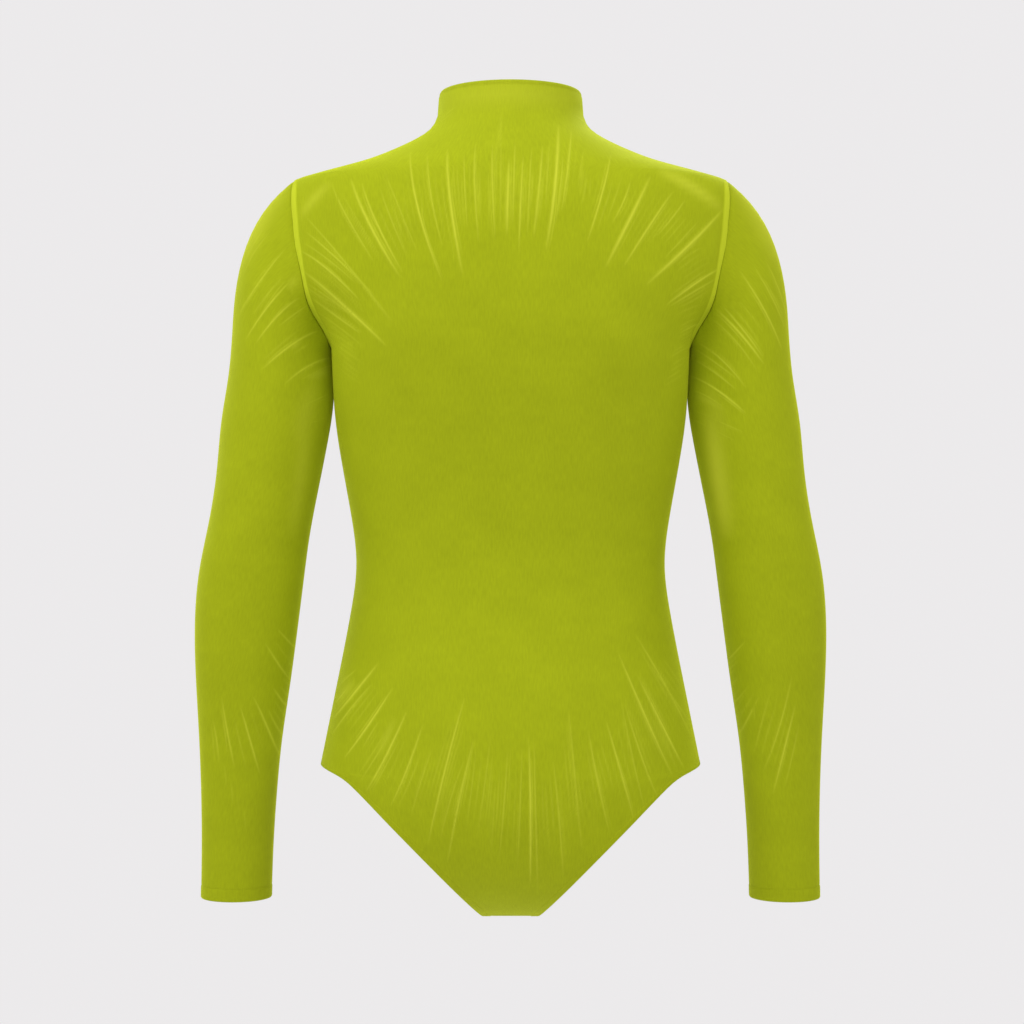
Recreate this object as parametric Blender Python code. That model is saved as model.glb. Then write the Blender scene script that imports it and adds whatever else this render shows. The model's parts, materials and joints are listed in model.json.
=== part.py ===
"""A long-sleeved stretch bodysuit with a funnel neck and high-cut legs, hollow and in its worn shape.

Units are metres, +Z is up, the front faces -Y and the wearer's left is +X. The origin is where the
wearer's shoulders carry the garment: on its middle plane, level with the middle of the shoulder seams.

Front and back are each one cut from the neck edge to the crotch. They meet along the sides of the neck,
the shoulders, the sides of the body and the crotch. Every panel is a wall of cloth worked out from the
tables below: horizontal sections for the body, rings for the sleeves.
"""

import math
from collections import namedtuple

import bmesh
import bpy
import numpy as np
from mathutils import Vector

MM = 0.001

# The cloth and its seams.
CLOTH_THICKNESS = 1.5 * MM
SEAM_GAP = 0.3 * MM
ARMHOLE_GAP = 0.36 * MM  # a little more, because the seam twists there
UNDERARM_FOLD = 1.2 * MM  # how far the sleeve starts outside the body under the arm, where it folds down

# Heights of the garment's landmarks.
NECK_EDGE = 52 * MM
SHOULDER_TIP = -28.5 * MM
UNDERARM = -176 * MM
HIP_CORNER = -539 * MM
CROTCH = -672 * MM

# How many steps each stretch of the solids is built in.
PANEL_COLUMNS = 16
NECK_STEPS = (0, 0.05, 0.18, 0.33, 0.44, 0.54, 0.65, 0.77, 0.89, 1)
LEG_STEPS = (0.035, 0.075, 0.12, 0.18, 0.26, 0.36, 0.47, 0.58, 0.69, 0.8, 0.9, 1)
ARMHOLE_ROWS = 12
SIDE_ROWS = 9
CAP_RINGS = 6
ARM_RINGS = 14

# The seam between front and back runs in front of the middle plane at the neck, which leans forward.
NECK_SEAM_DEPTH = -11 * MM
NECK_LEAN_FOOT = -10 * MM  # height below which the seam is back on the middle plane

# How deep the centre back and the centre front lie.
CentreRow = namedtuple("CentreRow", "height back front")
CENTRE_LINE = (
    CentreRow(52, 43, -64),
    CentreRow(48, 45, -66),
    CentreRow(30, 50, -67),
    CentreRow(10, 61, -69),
    CentreRow(-15, 77, -77),
    CentreRow(-50, 93, -91),
    CentreRow(-100, 104, -108),
    CentreRow(-160, 107, -122),
    CentreRow(-215, 101, -124),
    CentreRow(-280, 89, -115),
    CentreRow(-350, 81, -103),
    CentreRow(-410, 86, -102),
    CentreRow(-470, 103, -104),
    CentreRow(-530, 116, -100),
    CentreRow(-600, 119, -92),
    CentreRow(-672, 112, -84),
)
# How square the sections are: 2 is an ellipse, and more fills the corners out towards the side.
SquareRow = namedtuple("SquareRow", "height back front")
SQUARENESS = (
    SquareRow(52, 2.0, 2.0),
    SquareRow(0, 2.15, 2.1),
    SquareRow(-50, 2.45, 2.4),
    SquareRow(-100, 2.55, 2.5),
    SquareRow(-125, 2.65, 2.6),
    SquareRow(-148, 3.15, 3.05),
    SquareRow(-176, 3.95, 3.8),
    SquareRow(-204, 3.4, 3.3),
    SquareRow(-240, 2.85, 2.85),
    SquareRow(-290, 2.55, 2.55),
    SquareRow(-350, 2.4, 2.4),
    SquareRow(-450, 2.3, 2.3),
    SquareRow(-672, 2.3, 2.3),
)
SEAT_ROUNDNESS = 2.3  # how fully the seat and belly are rounded down to the crotch
BELLY_ROUNDNESS = 1.7

# Half widths of the garment along the neck and shoulder seam, and down the side seam.
EdgeRow = namedtuple("EdgeRow", "height out")
SHOULDER_LINE = (
    EdgeRow(52, 61),
    EdgeRow(48, 63),
    EdgeRow(34, 64),
    EdgeRow(23, 67),
    EdgeRow(14, 74),
    EdgeRow(6, 86),
    EdgeRow(-5, 109),
    EdgeRow(-16, 140),
    EdgeRow(-22.5, 165),
    EdgeRow(-28.5, 187),
)
SIDE_LINE = (
    EdgeRow(-176, 157),
    EdgeRow(-195, 156.3),
    EdgeRow(-235, 154),
    EdgeRow(-277, 148),
    EdgeRow(-325, 139.5),
    EdgeRow(-365, 135.5),
    EdgeRow(-405, 140),
    EdgeRow(-470, 152.5),
    EdgeRow(-539, 166.5),
)

# Armhole and leg opening, as shares of the way down each. out is how far from the middle plane the cloth
# ends, and reach how far its section would go on if it weren't cut there.
OpeningRow = namedtuple("OpeningRow", "share back_out back_reach front_out front_reach")
ARMHOLE_LINE = (
    OpeningRow(0.0, 187, 187, 187, 187),
    OpeningRow(0.12, 187, 197, 185.5, 195.5),
    OpeningRow(0.25, 186, 206, 180, 200),
    OpeningRow(0.45, 183, 208, 169.5, 196),
    OpeningRow(0.6, 179, 199, 163.5, 183.5),
    OpeningRow(0.7, 170.5, 177, 160, 169),
    OpeningRow(0.8, 160.5, 162.6, 158, 161),
    OpeningRow(0.9, 157.5, 157.9, 157.2, 157.8),
    OpeningRow(1.0, 157, 157, 157, 157),
)
LEG_LINE = (
    OpeningRow(0.0, 166.5, 166.5, 166.5, 166.5),
    OpeningRow(0.1, 148.5, 168, 142, 168),
    OpeningRow(0.2, 131, 169, 118, 169),
    OpeningRow(0.35, 104.5, 170, 84, 170),
    OpeningRow(0.5, 74.5, 170, 60, 170),
    OpeningRow(0.7, 41, 165, 36, 165),
    OpeningRow(0.85, 27, 160, 26.5, 160),
    OpeningRow(1.0, 24.5, 160, 24.5, 160),
)

# Rings of the sleeve below its cap: where each crosses the outer and the inner line of the arm, half its
# measure from front to back, and how far its middle lies behind the middle plane.
RingRow = namedtuple("RingRow", "outer_out outer_height inner_out inner_height half_depth back")
SLEEVE_RINGS = (
    RingRow(243.6, -150, 157.1, -187, 51, 0),
    RingRow(247.2, -197, 155.9, -219, 50, 1),
    RingRow(253.5, -240, 159.4, -250, 48.5, 3),
    RingRow(257.5, -285, 167.5, -293, 46, 5),
    RingRow(264.5, -330, 175.8, -337, 44.5, 6),
    RingRow(273.0, -373, 181.5, -378, 44, 5),
    RingRow(277.0, -420, 187.5, -423, 42.5, 2),
    RingRow(276.5, -470, 194.5, -472, 39, -2),
    RingRow(274.5, -520, 202.0, -521, 34.5, -6),
    RingRow(273.3, -570, 207.0, -570, 30.5, -9),
    RingRow(273.4, -615, 210.2, -615, 28, -12),
    RingRow(274.3, -660, 212.0, -660, 27, -14),
)
# The cap leaves the armhole along these directions in the frontal plane, in degrees below level.
CAP_FALL_AT_TIP = 47
CAP_FALL_AT_UNDERARM = 84
CAP_CREASE_AT_TIP = 0.55  # share of the turn at the shoulder tip that is made at once, in the seam
CAP_START_HANDLE = 0.33  # lengths of the cap's handles, as shares of its own length
CAP_END_HANDLE = 0.44
CREASE_START = 0.55  # share of the way down the armhole where the underarm crease begins

# How far to each side surfaces are looked at to find their slants.
PLACE_STEP = 2e-3
TURN_STEP = 5e-3
RING_STEP = 0.2

CLOTH_COLOUR = (0.34, 0.40, 0.012, 1)
CLOTH_ROUGHNESS = 0.62

Section = namedtuple("Section", "height out reach depth seam_depth square")


def spline(places, values, level_ends=False):
    """A smooth curve through table rows, as a function of place. Its ends run straight on, or level."""
    order = np.argsort(places)
    x = np.asarray(places, float)[order]
    y = np.asarray(values, float)[order]
    h = np.diff(x)
    slope = np.diff(y) / h
    matrix = np.eye(len(x))
    right = np.zeros(len(x))
    for i in range(1, len(x) - 1):
        matrix[i, i - 1 : i + 2] = h[i - 1], 2 * (h[i - 1] + h[i]), h[i]
        right[i] = 6 * (slope[i] - slope[i - 1])
    if level_ends:
        matrix[0, :2] = 2 * h[0], h[0]
        matrix[-1, -2:] = h[-1], 2 * h[-1]
        right[0], right[-1] = 6 * slope[0], -6 * slope[-1]
    bend = np.linalg.solve(matrix, right)

    def at(place):
        i = int(np.clip(np.searchsorted(x, place) - 1, 0, len(h) - 1))
        a, b = x[i + 1] - place, place - x[i]
        cubic = (bend[i] * a**3 + bend[i + 1] * b**3) / (6 * h[i])
        return cubic + (y[i] / h[i] - bend[i] * h[i] / 6) * a + (y[i + 1] / h[i] - bend[i + 1] * h[i] / 6) * b

    return at


def columns(table, place, unit=MM, level_ends=False):
    """One spline for each other column of a table, by name."""
    scale = MM if place == "height" else 1
    places = [getattr(row, place) * scale for row in table]
    return {
        name: spline(places, [getattr(row, name) * unit for row in table], level_ends)
        for name in table[0]._fields
        if name != place
    }


centre = columns(CENTRE_LINE, "height")
squareness = columns(SQUARENESS, "height", unit=1)
shoulder = columns(SHOULDER_LINE, "height")
side = columns(SIDE_LINE, "height")
armhole = columns(ARMHOLE_LINE, "share", level_ends=True)
leg = columns(LEG_LINE, "share", level_ends=True)


def seam_depth(height):
    """Where the seam between front and back lies, from front to back, at a height."""
    share = min(max((height - NECK_LEAN_FOOT) / (NECK_EDGE - NECK_LEAN_FOOT), 0), 1)
    return NECK_SEAM_DEPTH * share * share * (3 - 2 * share)


def section(face, place):
    """The section of the front or the back at a place: 0 to 1 is neck edge to shoulder tip, 1 to 2 the
    armhole, 2 to 3 the side seam, and 3 to 4 the leg opening down to the crotch."""
    zone = min(int(place), 3)
    share = place - zone
    fall = (1 - math.cos(math.pi * share)) / 2
    rounding = 1
    if zone == 0:
        height = NECK_EDGE + (SHOULDER_TIP - NECK_EDGE) * share
        out = reach = shoulder["out"](height)
    elif zone == 1:
        height = SHOULDER_TIP + (UNDERARM - SHOULDER_TIP) * fall
        out, reach = armhole[face + "_out"](share), armhole[face + "_reach"](share)
    elif zone == 2:
        height = UNDERARM + (HIP_CORNER - UNDERARM) * share
        out = reach = side["out"](height)
    else:
        height = HIP_CORNER + (CROTCH - HIP_CORNER) * fall
        out, reach = leg[face + "_out"](share), leg[face + "_reach"](share)
        power = SEAT_ROUNDNESS if face == "back" else BELLY_ROUNDNESS
        rounding = math.sqrt(max(1 - fall**power, 0))
    depth = centre[face](height) * rounding
    return Section(height, out, max(reach, out), depth, seam_depth(height), squareness[face](height))


def body_point(face, place, across):
    """A point of the body's outer surface. across runs from -1 at the right edge to 1 at the left."""
    s = section(face, place)
    turn = across * math.asin(s.out / s.reach)
    bulge = math.sqrt(max(1 - abs(math.sin(turn)) ** s.square, 0))
    gap = SEAM_GAP / 2 if face == "back" else -SEAM_GAP / 2
    depth = s.seam_depth + (s.depth - s.seam_depth) * bulge
    return Vector((s.reach * math.sin(turn), depth + gap, s.height))


def normal_of(surface, a, b, a_range, b_range):
    """The unit normal of a surface of two parameters, from points a little way to each side."""
    step = PLACE_STEP
    along_a = surface(min(a + step, a_range[1]), b) - surface(max(a - step, a_range[0]), b)
    along_b = surface(a, min(b + step, b_range[1])) - surface(a, max(b - step, b_range[0]))
    return along_b.cross(along_a).normalized()


def body_normal(face, place, across):
    """The outward normal of the body's surface. Along the seams between front and back it has no slant to
    either."""
    zone = (0, 1) if place <= 1 else (2, 3) if 2 <= place <= 3 else (0, 4)
    normal = normal_of(lambda a, b: body_point(face, a, b), place, across, zone, (-1, 1))
    if zone != (0, 4) and abs(across) == 1:
        normal = Vector((normal.x, 0, normal.z)).normalized()
    return normal if face == "back" else -normal


def armhole_place(turn):
    """Which panel the armhole crosses at a turn round it, and where: 0 is the shoulder tip, a half turn the
    underarm, and the back comes first."""
    turn %= 1
    return ("back", 1 + 2 * turn) if turn <= 0.5 else ("front", 1 + 2 * (1 - turn))


def crease(turn):
    """0 over the shoulder, 1 at the underarm, where the sleeve folds down against the body."""
    down = 1 - abs(1 - 2 * (turn % 1))
    share = min(max((down - CREASE_START) / (1 - CREASE_START), 0), 1)
    return share * share * (3 - 2 * share)


def armhole_frame(turn):
    """The armhole's point at a turn, the body's normal there, and the way on from the panel's edge."""
    face, place = armhole_place(turn)
    normal = body_normal(face, place, 1)
    ahead = body_point(*armhole_place(turn + TURN_STEP), 1)
    ahead -= body_point(*armhole_place(turn - TURN_STEP), 1)
    outward = normal.cross(ahead).normalized()
    return body_point(face, place, 1), normal, outward if outward.x > 0 else -outward


def cap_start(turn):
    """Where the sleeve starts on the armhole, the direction in which it leaves it, and the body's normal."""
    point, normal, outward = armhole_frame(turn)
    fold = crease(turn)
    down = 1 - abs(1 - 2 * (turn % 1))
    fall = math.radians(CAP_FALL_AT_TIP + (CAP_FALL_AT_UNDERARM - CAP_FALL_AT_TIP) * down)
    leaving = Vector((math.cos(fall), 0, -math.sin(fall)))
    leaving -= normal * leaving.dot(normal) * (1 - fold) * (1 - CAP_CREASE_AT_TIP * (1 - down) ** 3)
    start = point + outward * ARMHOLE_GAP * (1 - fold) + normal * (SEAM_GAP + UNDERARM_FOLD) * fold
    return start, leaving.normalized(), normal


ring_columns = {
    name: spline(range(len(SLEEVE_RINGS)), [getattr(row, name) * MM for row in SLEEVE_RINGS])
    for name in RingRow._fields
}


def arm_point(turn, ring):
    """A point of the sleeve below its cap; ring counts down the rows of SLEEVE_RINGS."""
    at = {name: column(ring) for name, column in ring_columns.items()}
    outer = Vector((at["outer_out"], at["back"], at["outer_height"]))
    inner = Vector((at["inner_out"], at["back"], at["inner_height"]))
    middle, half = (outer + inner) / 2, (outer - inner) / 2
    angle = 2 * math.pi * turn
    return middle + half * math.cos(angle) + Vector((0, at["half_depth"] * math.sin(angle), 0))


def sleeve_point(turn, down):
    """A point of the left sleeve's outer surface. down is 0 to 1 over the cap, then counts the rings."""
    if down >= 1:
        return arm_point(turn, down - 1)
    start, leaving, _ = cap_start(turn)
    end = arm_point(turn, 0)
    arriving = (arm_point(turn, RING_STEP) - end).normalized()
    length = (end - start).length
    first = start + leaving * length * CAP_START_HANDLE
    last = end - arriving * length * CAP_END_HANDLE
    up = 1 - down
    return start * up**3 + first * 3 * up**2 * down + last * 3 * up * down**2 + end * down**3


def sleeve_normal(turn, down):
    """The outward normal of the left sleeve."""
    return normal_of(sleeve_point, turn, down, (-1, 2), (0, len(SLEEVE_RINGS)))


def cloth_shell(outer, inner, rows, stitches, closed=False):
    """A wall of cloth between two surfaces, each given as a function of the row's and the column's number.
    closed joins the last column to the first, for a tube."""
    mesh = bmesh.new()
    for surface in (outer, inner):
        made = bmesh.ops.create_grid(mesh, x_segments=stitches, y_segments=rows, size=1)["verts"]
        for index, vertex in enumerate(made):
            row, column = divmod(index, stitches + 1)
            vertex.co = surface(row, 0 if closed and column == stitches else column)
        faces = {face for vertex in made for face in vertex.link_faces}
        if surface is inner:
            bmesh.ops.reverse_faces(mesh, faces=list(faces))
        if closed:
            bmesh.ops.remove_doubles(mesh, verts=made, dist=SEAM_GAP / 100)
    rims = [edge for edge in mesh.edges if edge.is_boundary]
    if closed:
        middle = sum(vertex.co.z for vertex in mesh.verts) / len(mesh.verts)
        for top in (True, False):
            rim = [edge for edge in rims if (edge.verts[0].co.z > middle) == top]
            bmesh.ops.bridge_loops(mesh, edges=rim)
    else:
        bmesh.ops.bridge_loops(mesh, edges=rims)
    return mesh


def add_object(name, mesh, material, collection):
    """Turns a finished shell into an object whose faces point out."""
    bmesh.ops.recalc_face_normals(mesh, faces=mesh.faces)
    data = bpy.data.meshes.new(name)
    mesh.to_mesh(data)
    mesh.free()
    data.materials.append(material)
    data.shade_smooth()
    made = bpy.data.objects.new(name, data)
    collection.objects.link(made)
    return made


def panel_places():
    """The places of the rows of a body panel, from the neck edge to the crotch."""
    armhole_steps = [step / ARMHOLE_ROWS for step in range(1, ARMHOLE_ROWS + 1)]
    side_steps = [step / SIDE_ROWS for step in range(1, SIDE_ROWS + 1)]
    zones = (NECK_STEPS, armhole_steps, side_steps, LEG_STEPS)
    return [zone + step for zone, steps in enumerate(zones) for step in steps]


def body_panel(face):
    """The front or the back, from the neck edge to the crotch."""
    places = panel_places()

    def outer(row, column):
        return body_point(face, places[row], 2 * column / PANEL_COLUMNS - 1)

    def inner(row, column):
        across = 2 * column / PANEL_COLUMNS - 1
        return outer(row, column) - body_normal(face, places[row], across) * CLOTH_THICKNESS

    return cloth_shell(outer, inner, len(places) - 1, PANEL_COLUMNS)


def mirrored(point, sign):
    """The point itself on the left, and its mirror image on the right."""
    return Vector((point.x * sign, point.y, point.z))


def sleeve(sign):
    """A sleeve, from its armhole to its cuff."""
    places = [step / CAP_RINGS for step in range(CAP_RINGS)]
    last_ring = len(SLEEVE_RINGS) - 1
    places += [1 + last_ring * step / ARM_RINGS for step in range(ARM_RINGS + 1)]
    stitches = 2 * ARMHOLE_ROWS

    def outer(row, column):
        return mirrored(sleeve_point(column / stitches, places[row]), sign)

    def inner(row, column):
        point = sleeve_point(column / stitches, places[row])
        normal = sleeve_normal(column / stitches, places[row])
        if row == 0:
            normal = cap_start(column / stitches)[2].lerp(normal, crease(column / stitches)).normalized()
        return mirrored(point - normal * CLOTH_THICKNESS, sign)

    return cloth_shell(outer, inner, len(places) - 1, stitches, closed=True)


def cloth_material(name, colour):
    """A plain fabric finish."""
    material = bpy.data.materials.new(name)
    material.use_nodes = True
    shader = material.node_tree.nodes["Principled BSDF"]
    shader.inputs["Base Color"].default_value = colour
    shader.inputs["Roughness"].default_value = CLOTH_ROUGHNESS
    shader.inputs["Metallic"].default_value = 0
    return material


def main():
    for old in list(bpy.data.objects):
        bpy.data.objects.remove(old)
    collection = bpy.data.collections.new("bodysuit")
    bpy.context.scene.collection.children.link(collection)
    cloth = cloth_material("stretch_cloth", CLOTH_COLOUR)
    for face in ("back", "front"):
        add_object(face + "_panel", body_panel(face), cloth, collection)
    for name, sign in (("left", 1), ("right", -1)):
        add_object("sleeve_" + name, sleeve(sign), cloth, collection)


main()
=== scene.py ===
"""The looks of a long-sleeved stretch bodysuit: thin shells of cloth over the four cut pieces, with their
stretch lines, seams, hems and stitches, and a plain studio around them. Lengths in tables are in
millimetres."""

import json
import math
from collections import namedtuple

import bmesh
import bpy
import numpy as np
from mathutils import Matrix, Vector

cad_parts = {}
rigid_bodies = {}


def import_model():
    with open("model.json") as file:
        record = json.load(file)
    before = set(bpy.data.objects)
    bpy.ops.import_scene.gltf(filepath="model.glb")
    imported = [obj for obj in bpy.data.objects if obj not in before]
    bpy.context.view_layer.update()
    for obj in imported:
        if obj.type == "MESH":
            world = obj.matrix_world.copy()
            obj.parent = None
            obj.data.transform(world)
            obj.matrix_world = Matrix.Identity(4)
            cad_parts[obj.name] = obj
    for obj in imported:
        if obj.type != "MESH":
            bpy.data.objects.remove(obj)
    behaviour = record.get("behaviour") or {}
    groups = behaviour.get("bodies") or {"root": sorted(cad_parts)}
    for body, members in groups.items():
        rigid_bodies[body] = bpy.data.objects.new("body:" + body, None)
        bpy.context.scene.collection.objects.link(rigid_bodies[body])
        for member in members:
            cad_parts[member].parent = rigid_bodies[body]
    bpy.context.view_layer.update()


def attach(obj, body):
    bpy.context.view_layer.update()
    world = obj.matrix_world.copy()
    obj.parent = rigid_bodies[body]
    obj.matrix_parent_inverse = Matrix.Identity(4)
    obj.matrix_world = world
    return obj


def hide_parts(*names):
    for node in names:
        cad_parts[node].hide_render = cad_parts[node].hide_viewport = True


bl_info = {
    "name": "Stretch Bodysuit",
    "version": (1, 0, 0),
    "blender": (4, 5, 0),
    "location": "View3D > Sidebar > Bodysuit",
    "description": "Builds a stretch bodysuit's cloth, stitching and studio",
    "category": "Object",
}

for startup_object in list(bpy.data.objects):
    bpy.data.objects.remove(startup_object)
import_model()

MM = 0.001


def table(kind, *rows):
    """A table's rows, with the columns named by their kind."""
    return tuple(kind(*row) for row in rows)


# ---------------------------------------------------------------------------------------------------------
# The worn shape: horizontal sections for the body, rings for the sleeves.

PANEL_GAP = 0.12 * MM  # between front and back
ARMHOLE_GAP = 0.36 * MM  # between a panel and a sleeve
UNDERARM_GAP = 0.4 * MM  # by which the sleeve starts outside the body where it folds down under the arm

NECK_EDGE = 52 * MM
SHOULDER_TIP = -28.5 * MM
UNDERARM = -176 * MM
HIP_CORNER = -539 * MM
CROTCH = -672 * MM
NECK_SEAM_DEPTH = -11 * MM
NECK_LEAN_FOOT = -10 * MM
SEAT_ROUNDNESS = 2.3
BELLY_ROUNDNESS = 1.7

# How deep the centre back and the centre front lie.
CentreRow = namedtuple("CentreRow", "height back front")
CENTRE_LINE = table(
    CentreRow,
    (52, 43, -64),
    (48, 45, -66),
    (30, 50, -67),
    (10, 61, -69),
    (-15, 77, -77),
    (-50, 93, -91),
    (-100, 104, -108),
    (-160, 107, -122),
    (-215, 101, -124),
    (-280, 89, -115),
    (-350, 81, -103),
    (-410, 86, -102),
    (-470, 103, -104),
    (-530, 116, -100),
    (-600, 119, -92),
    (-672, 112, -84),
)
# How square the sections are: 2 is an ellipse.
SquareRow = namedtuple("SquareRow", "height back front")
SQUARENESS = table(
    SquareRow,
    (52, 2.0, 2.0),
    (0, 2.15, 2.1),
    (-50, 2.45, 2.4),
    (-100, 2.55, 2.5),
    (-125, 2.65, 2.6),
    (-148, 3.15, 3.05),
    (-176, 3.95, 3.8),
    (-204, 3.4, 3.3),
    (-240, 2.85, 2.85),
    (-290, 2.55, 2.55),
    (-350, 2.4, 2.4),
    (-450, 2.3, 2.3),
    (-672, 2.3, 2.3),
)
# Half widths along the neck and shoulder seam, and down the side seam.
EdgeRow = namedtuple("EdgeRow", "height out")
SHOULDER_LINE = table(
    EdgeRow,
    (52, 61),
    (48, 63),
    (34, 64),
    (23, 67),
    (14, 74),
    (6, 86),
    (-5, 109),
    (-16, 140),
    (-22.5, 165),
    (-28.5, 187),
)
SIDE_LINE = table(
    EdgeRow,
    (-176, 157),
    (-195, 156.3),
    (-235, 154),
    (-277, 148),
    (-325, 139.5),
    (-365, 135.5),
    (-405, 140),
    (-470, 152.5),
    (-539, 166.5),
)
# Armhole and leg opening by share of the way down: how far out the cloth ends, and how far its section
# would go on if it were not cut there.
OpeningRow = namedtuple("OpeningRow", "share back_out back_reach front_out front_reach")
ARMHOLE_LINE = table(
    OpeningRow,
    (0.0, 187, 187, 187, 187),
    (0.12, 187, 197, 185.5, 195.5),
    (0.25, 186, 206, 180, 200),
    (0.45, 183, 208, 169.5, 196),
    (0.6, 179, 199, 163.5, 183.5),
    (0.7, 170.5, 177, 160, 169),
    (0.8, 160.5, 162.6, 158, 161),
    (0.9, 157.5, 157.9, 157.2, 157.8),
    (1.0, 157, 157, 157, 157),
)
# How the armhole's seam lies down the armhole: how far it laps over the sleeve, against the usual, how far
# it is drawn sideways with the sleeve's edge, and how far both stand out like a lip.
SeamRow = namedtuple("SeamRow", "share lap drawn lip")
ARMHOLE_SEAM = table(
    SeamRow,
    (0.0, 0.0, 0.0, 0.0),
    (0.1, 0.2, 0.0, 0.0),
    (0.2, 0.75, 0.0, 0.0),
    (0.3, 1.0, -0.1, 0.0),
    (0.36, 1.0, -0.6, 0.0),
    (0.43, 1.0, -1.2, 0.0),
    (0.5, 0.35, -2.0, 0.0),
    (0.56, 0.05, -2.8, 0.1),
    (0.61, 0.05, -2.3, 0.4),
    (0.66, 0.05, -0.9, 0.9),
    (0.71, 0.05, 0.0, 1.6),
    (0.77, 0.05, 0.0, 2.0),
    (0.83, 0.05, 0.0, 1.8),
    (0.9, 0.05, 0.0, 1.1),
    (0.95, 0.05, 0.0, 0.5),
    (1.0, 0.05, 0.0, 0.0),
)
LEG_LINE = table(
    OpeningRow,
    (0.0, 166.5, 166.5, 166.5, 166.5),
    (0.1, 148.5, 168, 142, 168),
    (0.2, 131, 169, 118, 169),
    (0.35, 104.5, 170, 84, 170),
    (0.5, 74.5, 170, 60, 170),
    (0.7, 41, 165, 36, 165),
    (0.85, 27, 160, 26.5, 160),
    (1.0, 24.5, 160, 24.5, 160),
)
# Where each ring of the sleeve crosses the outer and the inner line of the arm, half its measure from front
# to back, and how far back its middle lies.
RingRow = namedtuple("RingRow", "outer_out outer_height inner_out inner_height half_depth back")
SLEEVE_RINGS = table(
    RingRow,
    (243.6, -150, 157.1, -187, 51, 0),
    (247.2, -197, 155.9, -219, 50, 1),
    (253.5, -240, 159.4, -250, 48.5, 3),
    (257.5, -285, 167.5, -293, 46, 5),
    (264.5, -330, 175.8, -337, 44.5, 6),
    (273.0, -373, 181.5, -378, 44, 5),
    (277.0, -420, 187.5, -423, 42.5, 2),
    (276.5, -470, 194.5, -472, 39, -2),
    (274.5, -520, 202.0, -521, 34.5, -6),
    (273.3, -570, 207.0, -570, 30.5, -9),
    (273.4, -615, 210.2, -615, 28, -12),
    (274.3, -660, 212.0, -660, 27, -14),
)
# The cap leaves the armhole in these directions, in degrees below level.
CAP_FALL_AT_TIP = 47
CAP_FALL_AT_UNDERARM = 84
CAP_CREASE_AT_TIP = 0.55  # share of the turn at the shoulder tip that is made at once, in the seam
CAP_START_HANDLE = 0.33
CAP_END_HANDLE = 0.44
CREASE_START = 0.55  # share of the way down the armhole where the sleeve starts to fold down

# ---------------------------------------------------------------------------------------------------------
# Stretch lines, seen square on from behind: each runs from a start past a middle point to an end. out is
# how far towards the wearer's left, strength how far it stands out and how pale it is, the paler stretched
# knit with a painted highlight, and width how many times the usual width it has. The widest are soft areas of
# painted light.

StretchRow = namedtuple(
    "StretchRow",
    "start_out start_height mid_out mid_height end_out end_height strength width",
    defaults=(1,),
)
NECK_FAN = table(
    StretchRow,
    (151, -41, 139, -68, 113, -112, 0.6),
    (143, -49, 126, -78, 106, -110, 0.35),
    (135, -37, 118, -78, 91, -125, 1, 1.3),
    (125, -42, 112, -77, 89, -121, 0.85),
    (109, -48, 101, -71, 86, -107, 0.45),
    (106, -32, 91, -70, 76, -106, 0.4),
    (99, -62, 94, -76, 89, -93, 0.35),
    (85, -12, 77, -66, 56, -129, 0.95),
    (70, -16, 66, -56, 56, -100, 0.6),
    (53, -13, 50, -60, 39, -125, 1, 1.3),
    (48, -28, 46, -55, 42, -82, 0.35),
    (45, -28, 43, -55, 40, -86, 0.35),
    (39, -19, 38, -47, 35.5, -85, 0.5),
    (29, -8, 30, -42, 26, -98, 0.65),
    (26, -30, 25, -55, 24, -73, 0.25),
    (19, -32, 18, -55, 18, -86, 0.3),
    (15, -8, 15, -44, 12.5, -95, 0.65),
    (8, 26, 8, 10, 8, -6, 0.3),
    (8, 0, 8, -37, 8.5, -86, 0.35),
    (1, -23, 2, -50, 3, -91, 0.9, 1.4),
    (-4, -6, -3, -40, -2, -82, 0.55),
    (-11, -19, -9, -52, -7, -103, 0.75),
    (-18, -12, -16, -45, -14, -91, 0.5),
    (-19, -32, -18, -55, -17, -66, 0.35),
    (-27, -10, -24, -48, -19, -93, 0.7, 1.3),
    (-33, -6, -31, -37, -29, -68, 0.4),
    (-41, 12, -37, -50, -29, -104, 1, 1.5),
    (-44, -19, -42, -45, -37, -82, 0.55),
    (-52, 8, -48, -32, -42, -71, 0.7),
    (-62, -12, -59, -30, -56, -50, 0.3),
    (-64, -37, -62, -51, -59, -64, 0.35),
    (-67.5, -39, -66, -51, -65, -59, 0.25),
    (-85, -16, -76, -55, -63, -97, 0.85),
    (-94, -36, -87, -58, -80, -77, 0.3),
    (-101, -41, -94, -61, -84, -80, 0.6),
    (-118, -36, -103, -68, -78, -118, 0.95, 1.6),
    (-137, -49, -117, -79, -93, -117, 0.8, 1.2),
    (-148, -55, -136, -72, -122, -89, 0.55),
    (-159, -73, -147, -87, -128, -108, 0.4),
)
NECK_CREASES = table(
    StretchRow,
    (61, 22, 52, 28, 42, 33, 0.35),
    (62, 18, 56, 22, 48, 27, 0.25),
    (-65, 27, -60, 30, -54, 32, 0.3),
    (-67, 20, -61, 23, -55, 25, 0.35),
)
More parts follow.
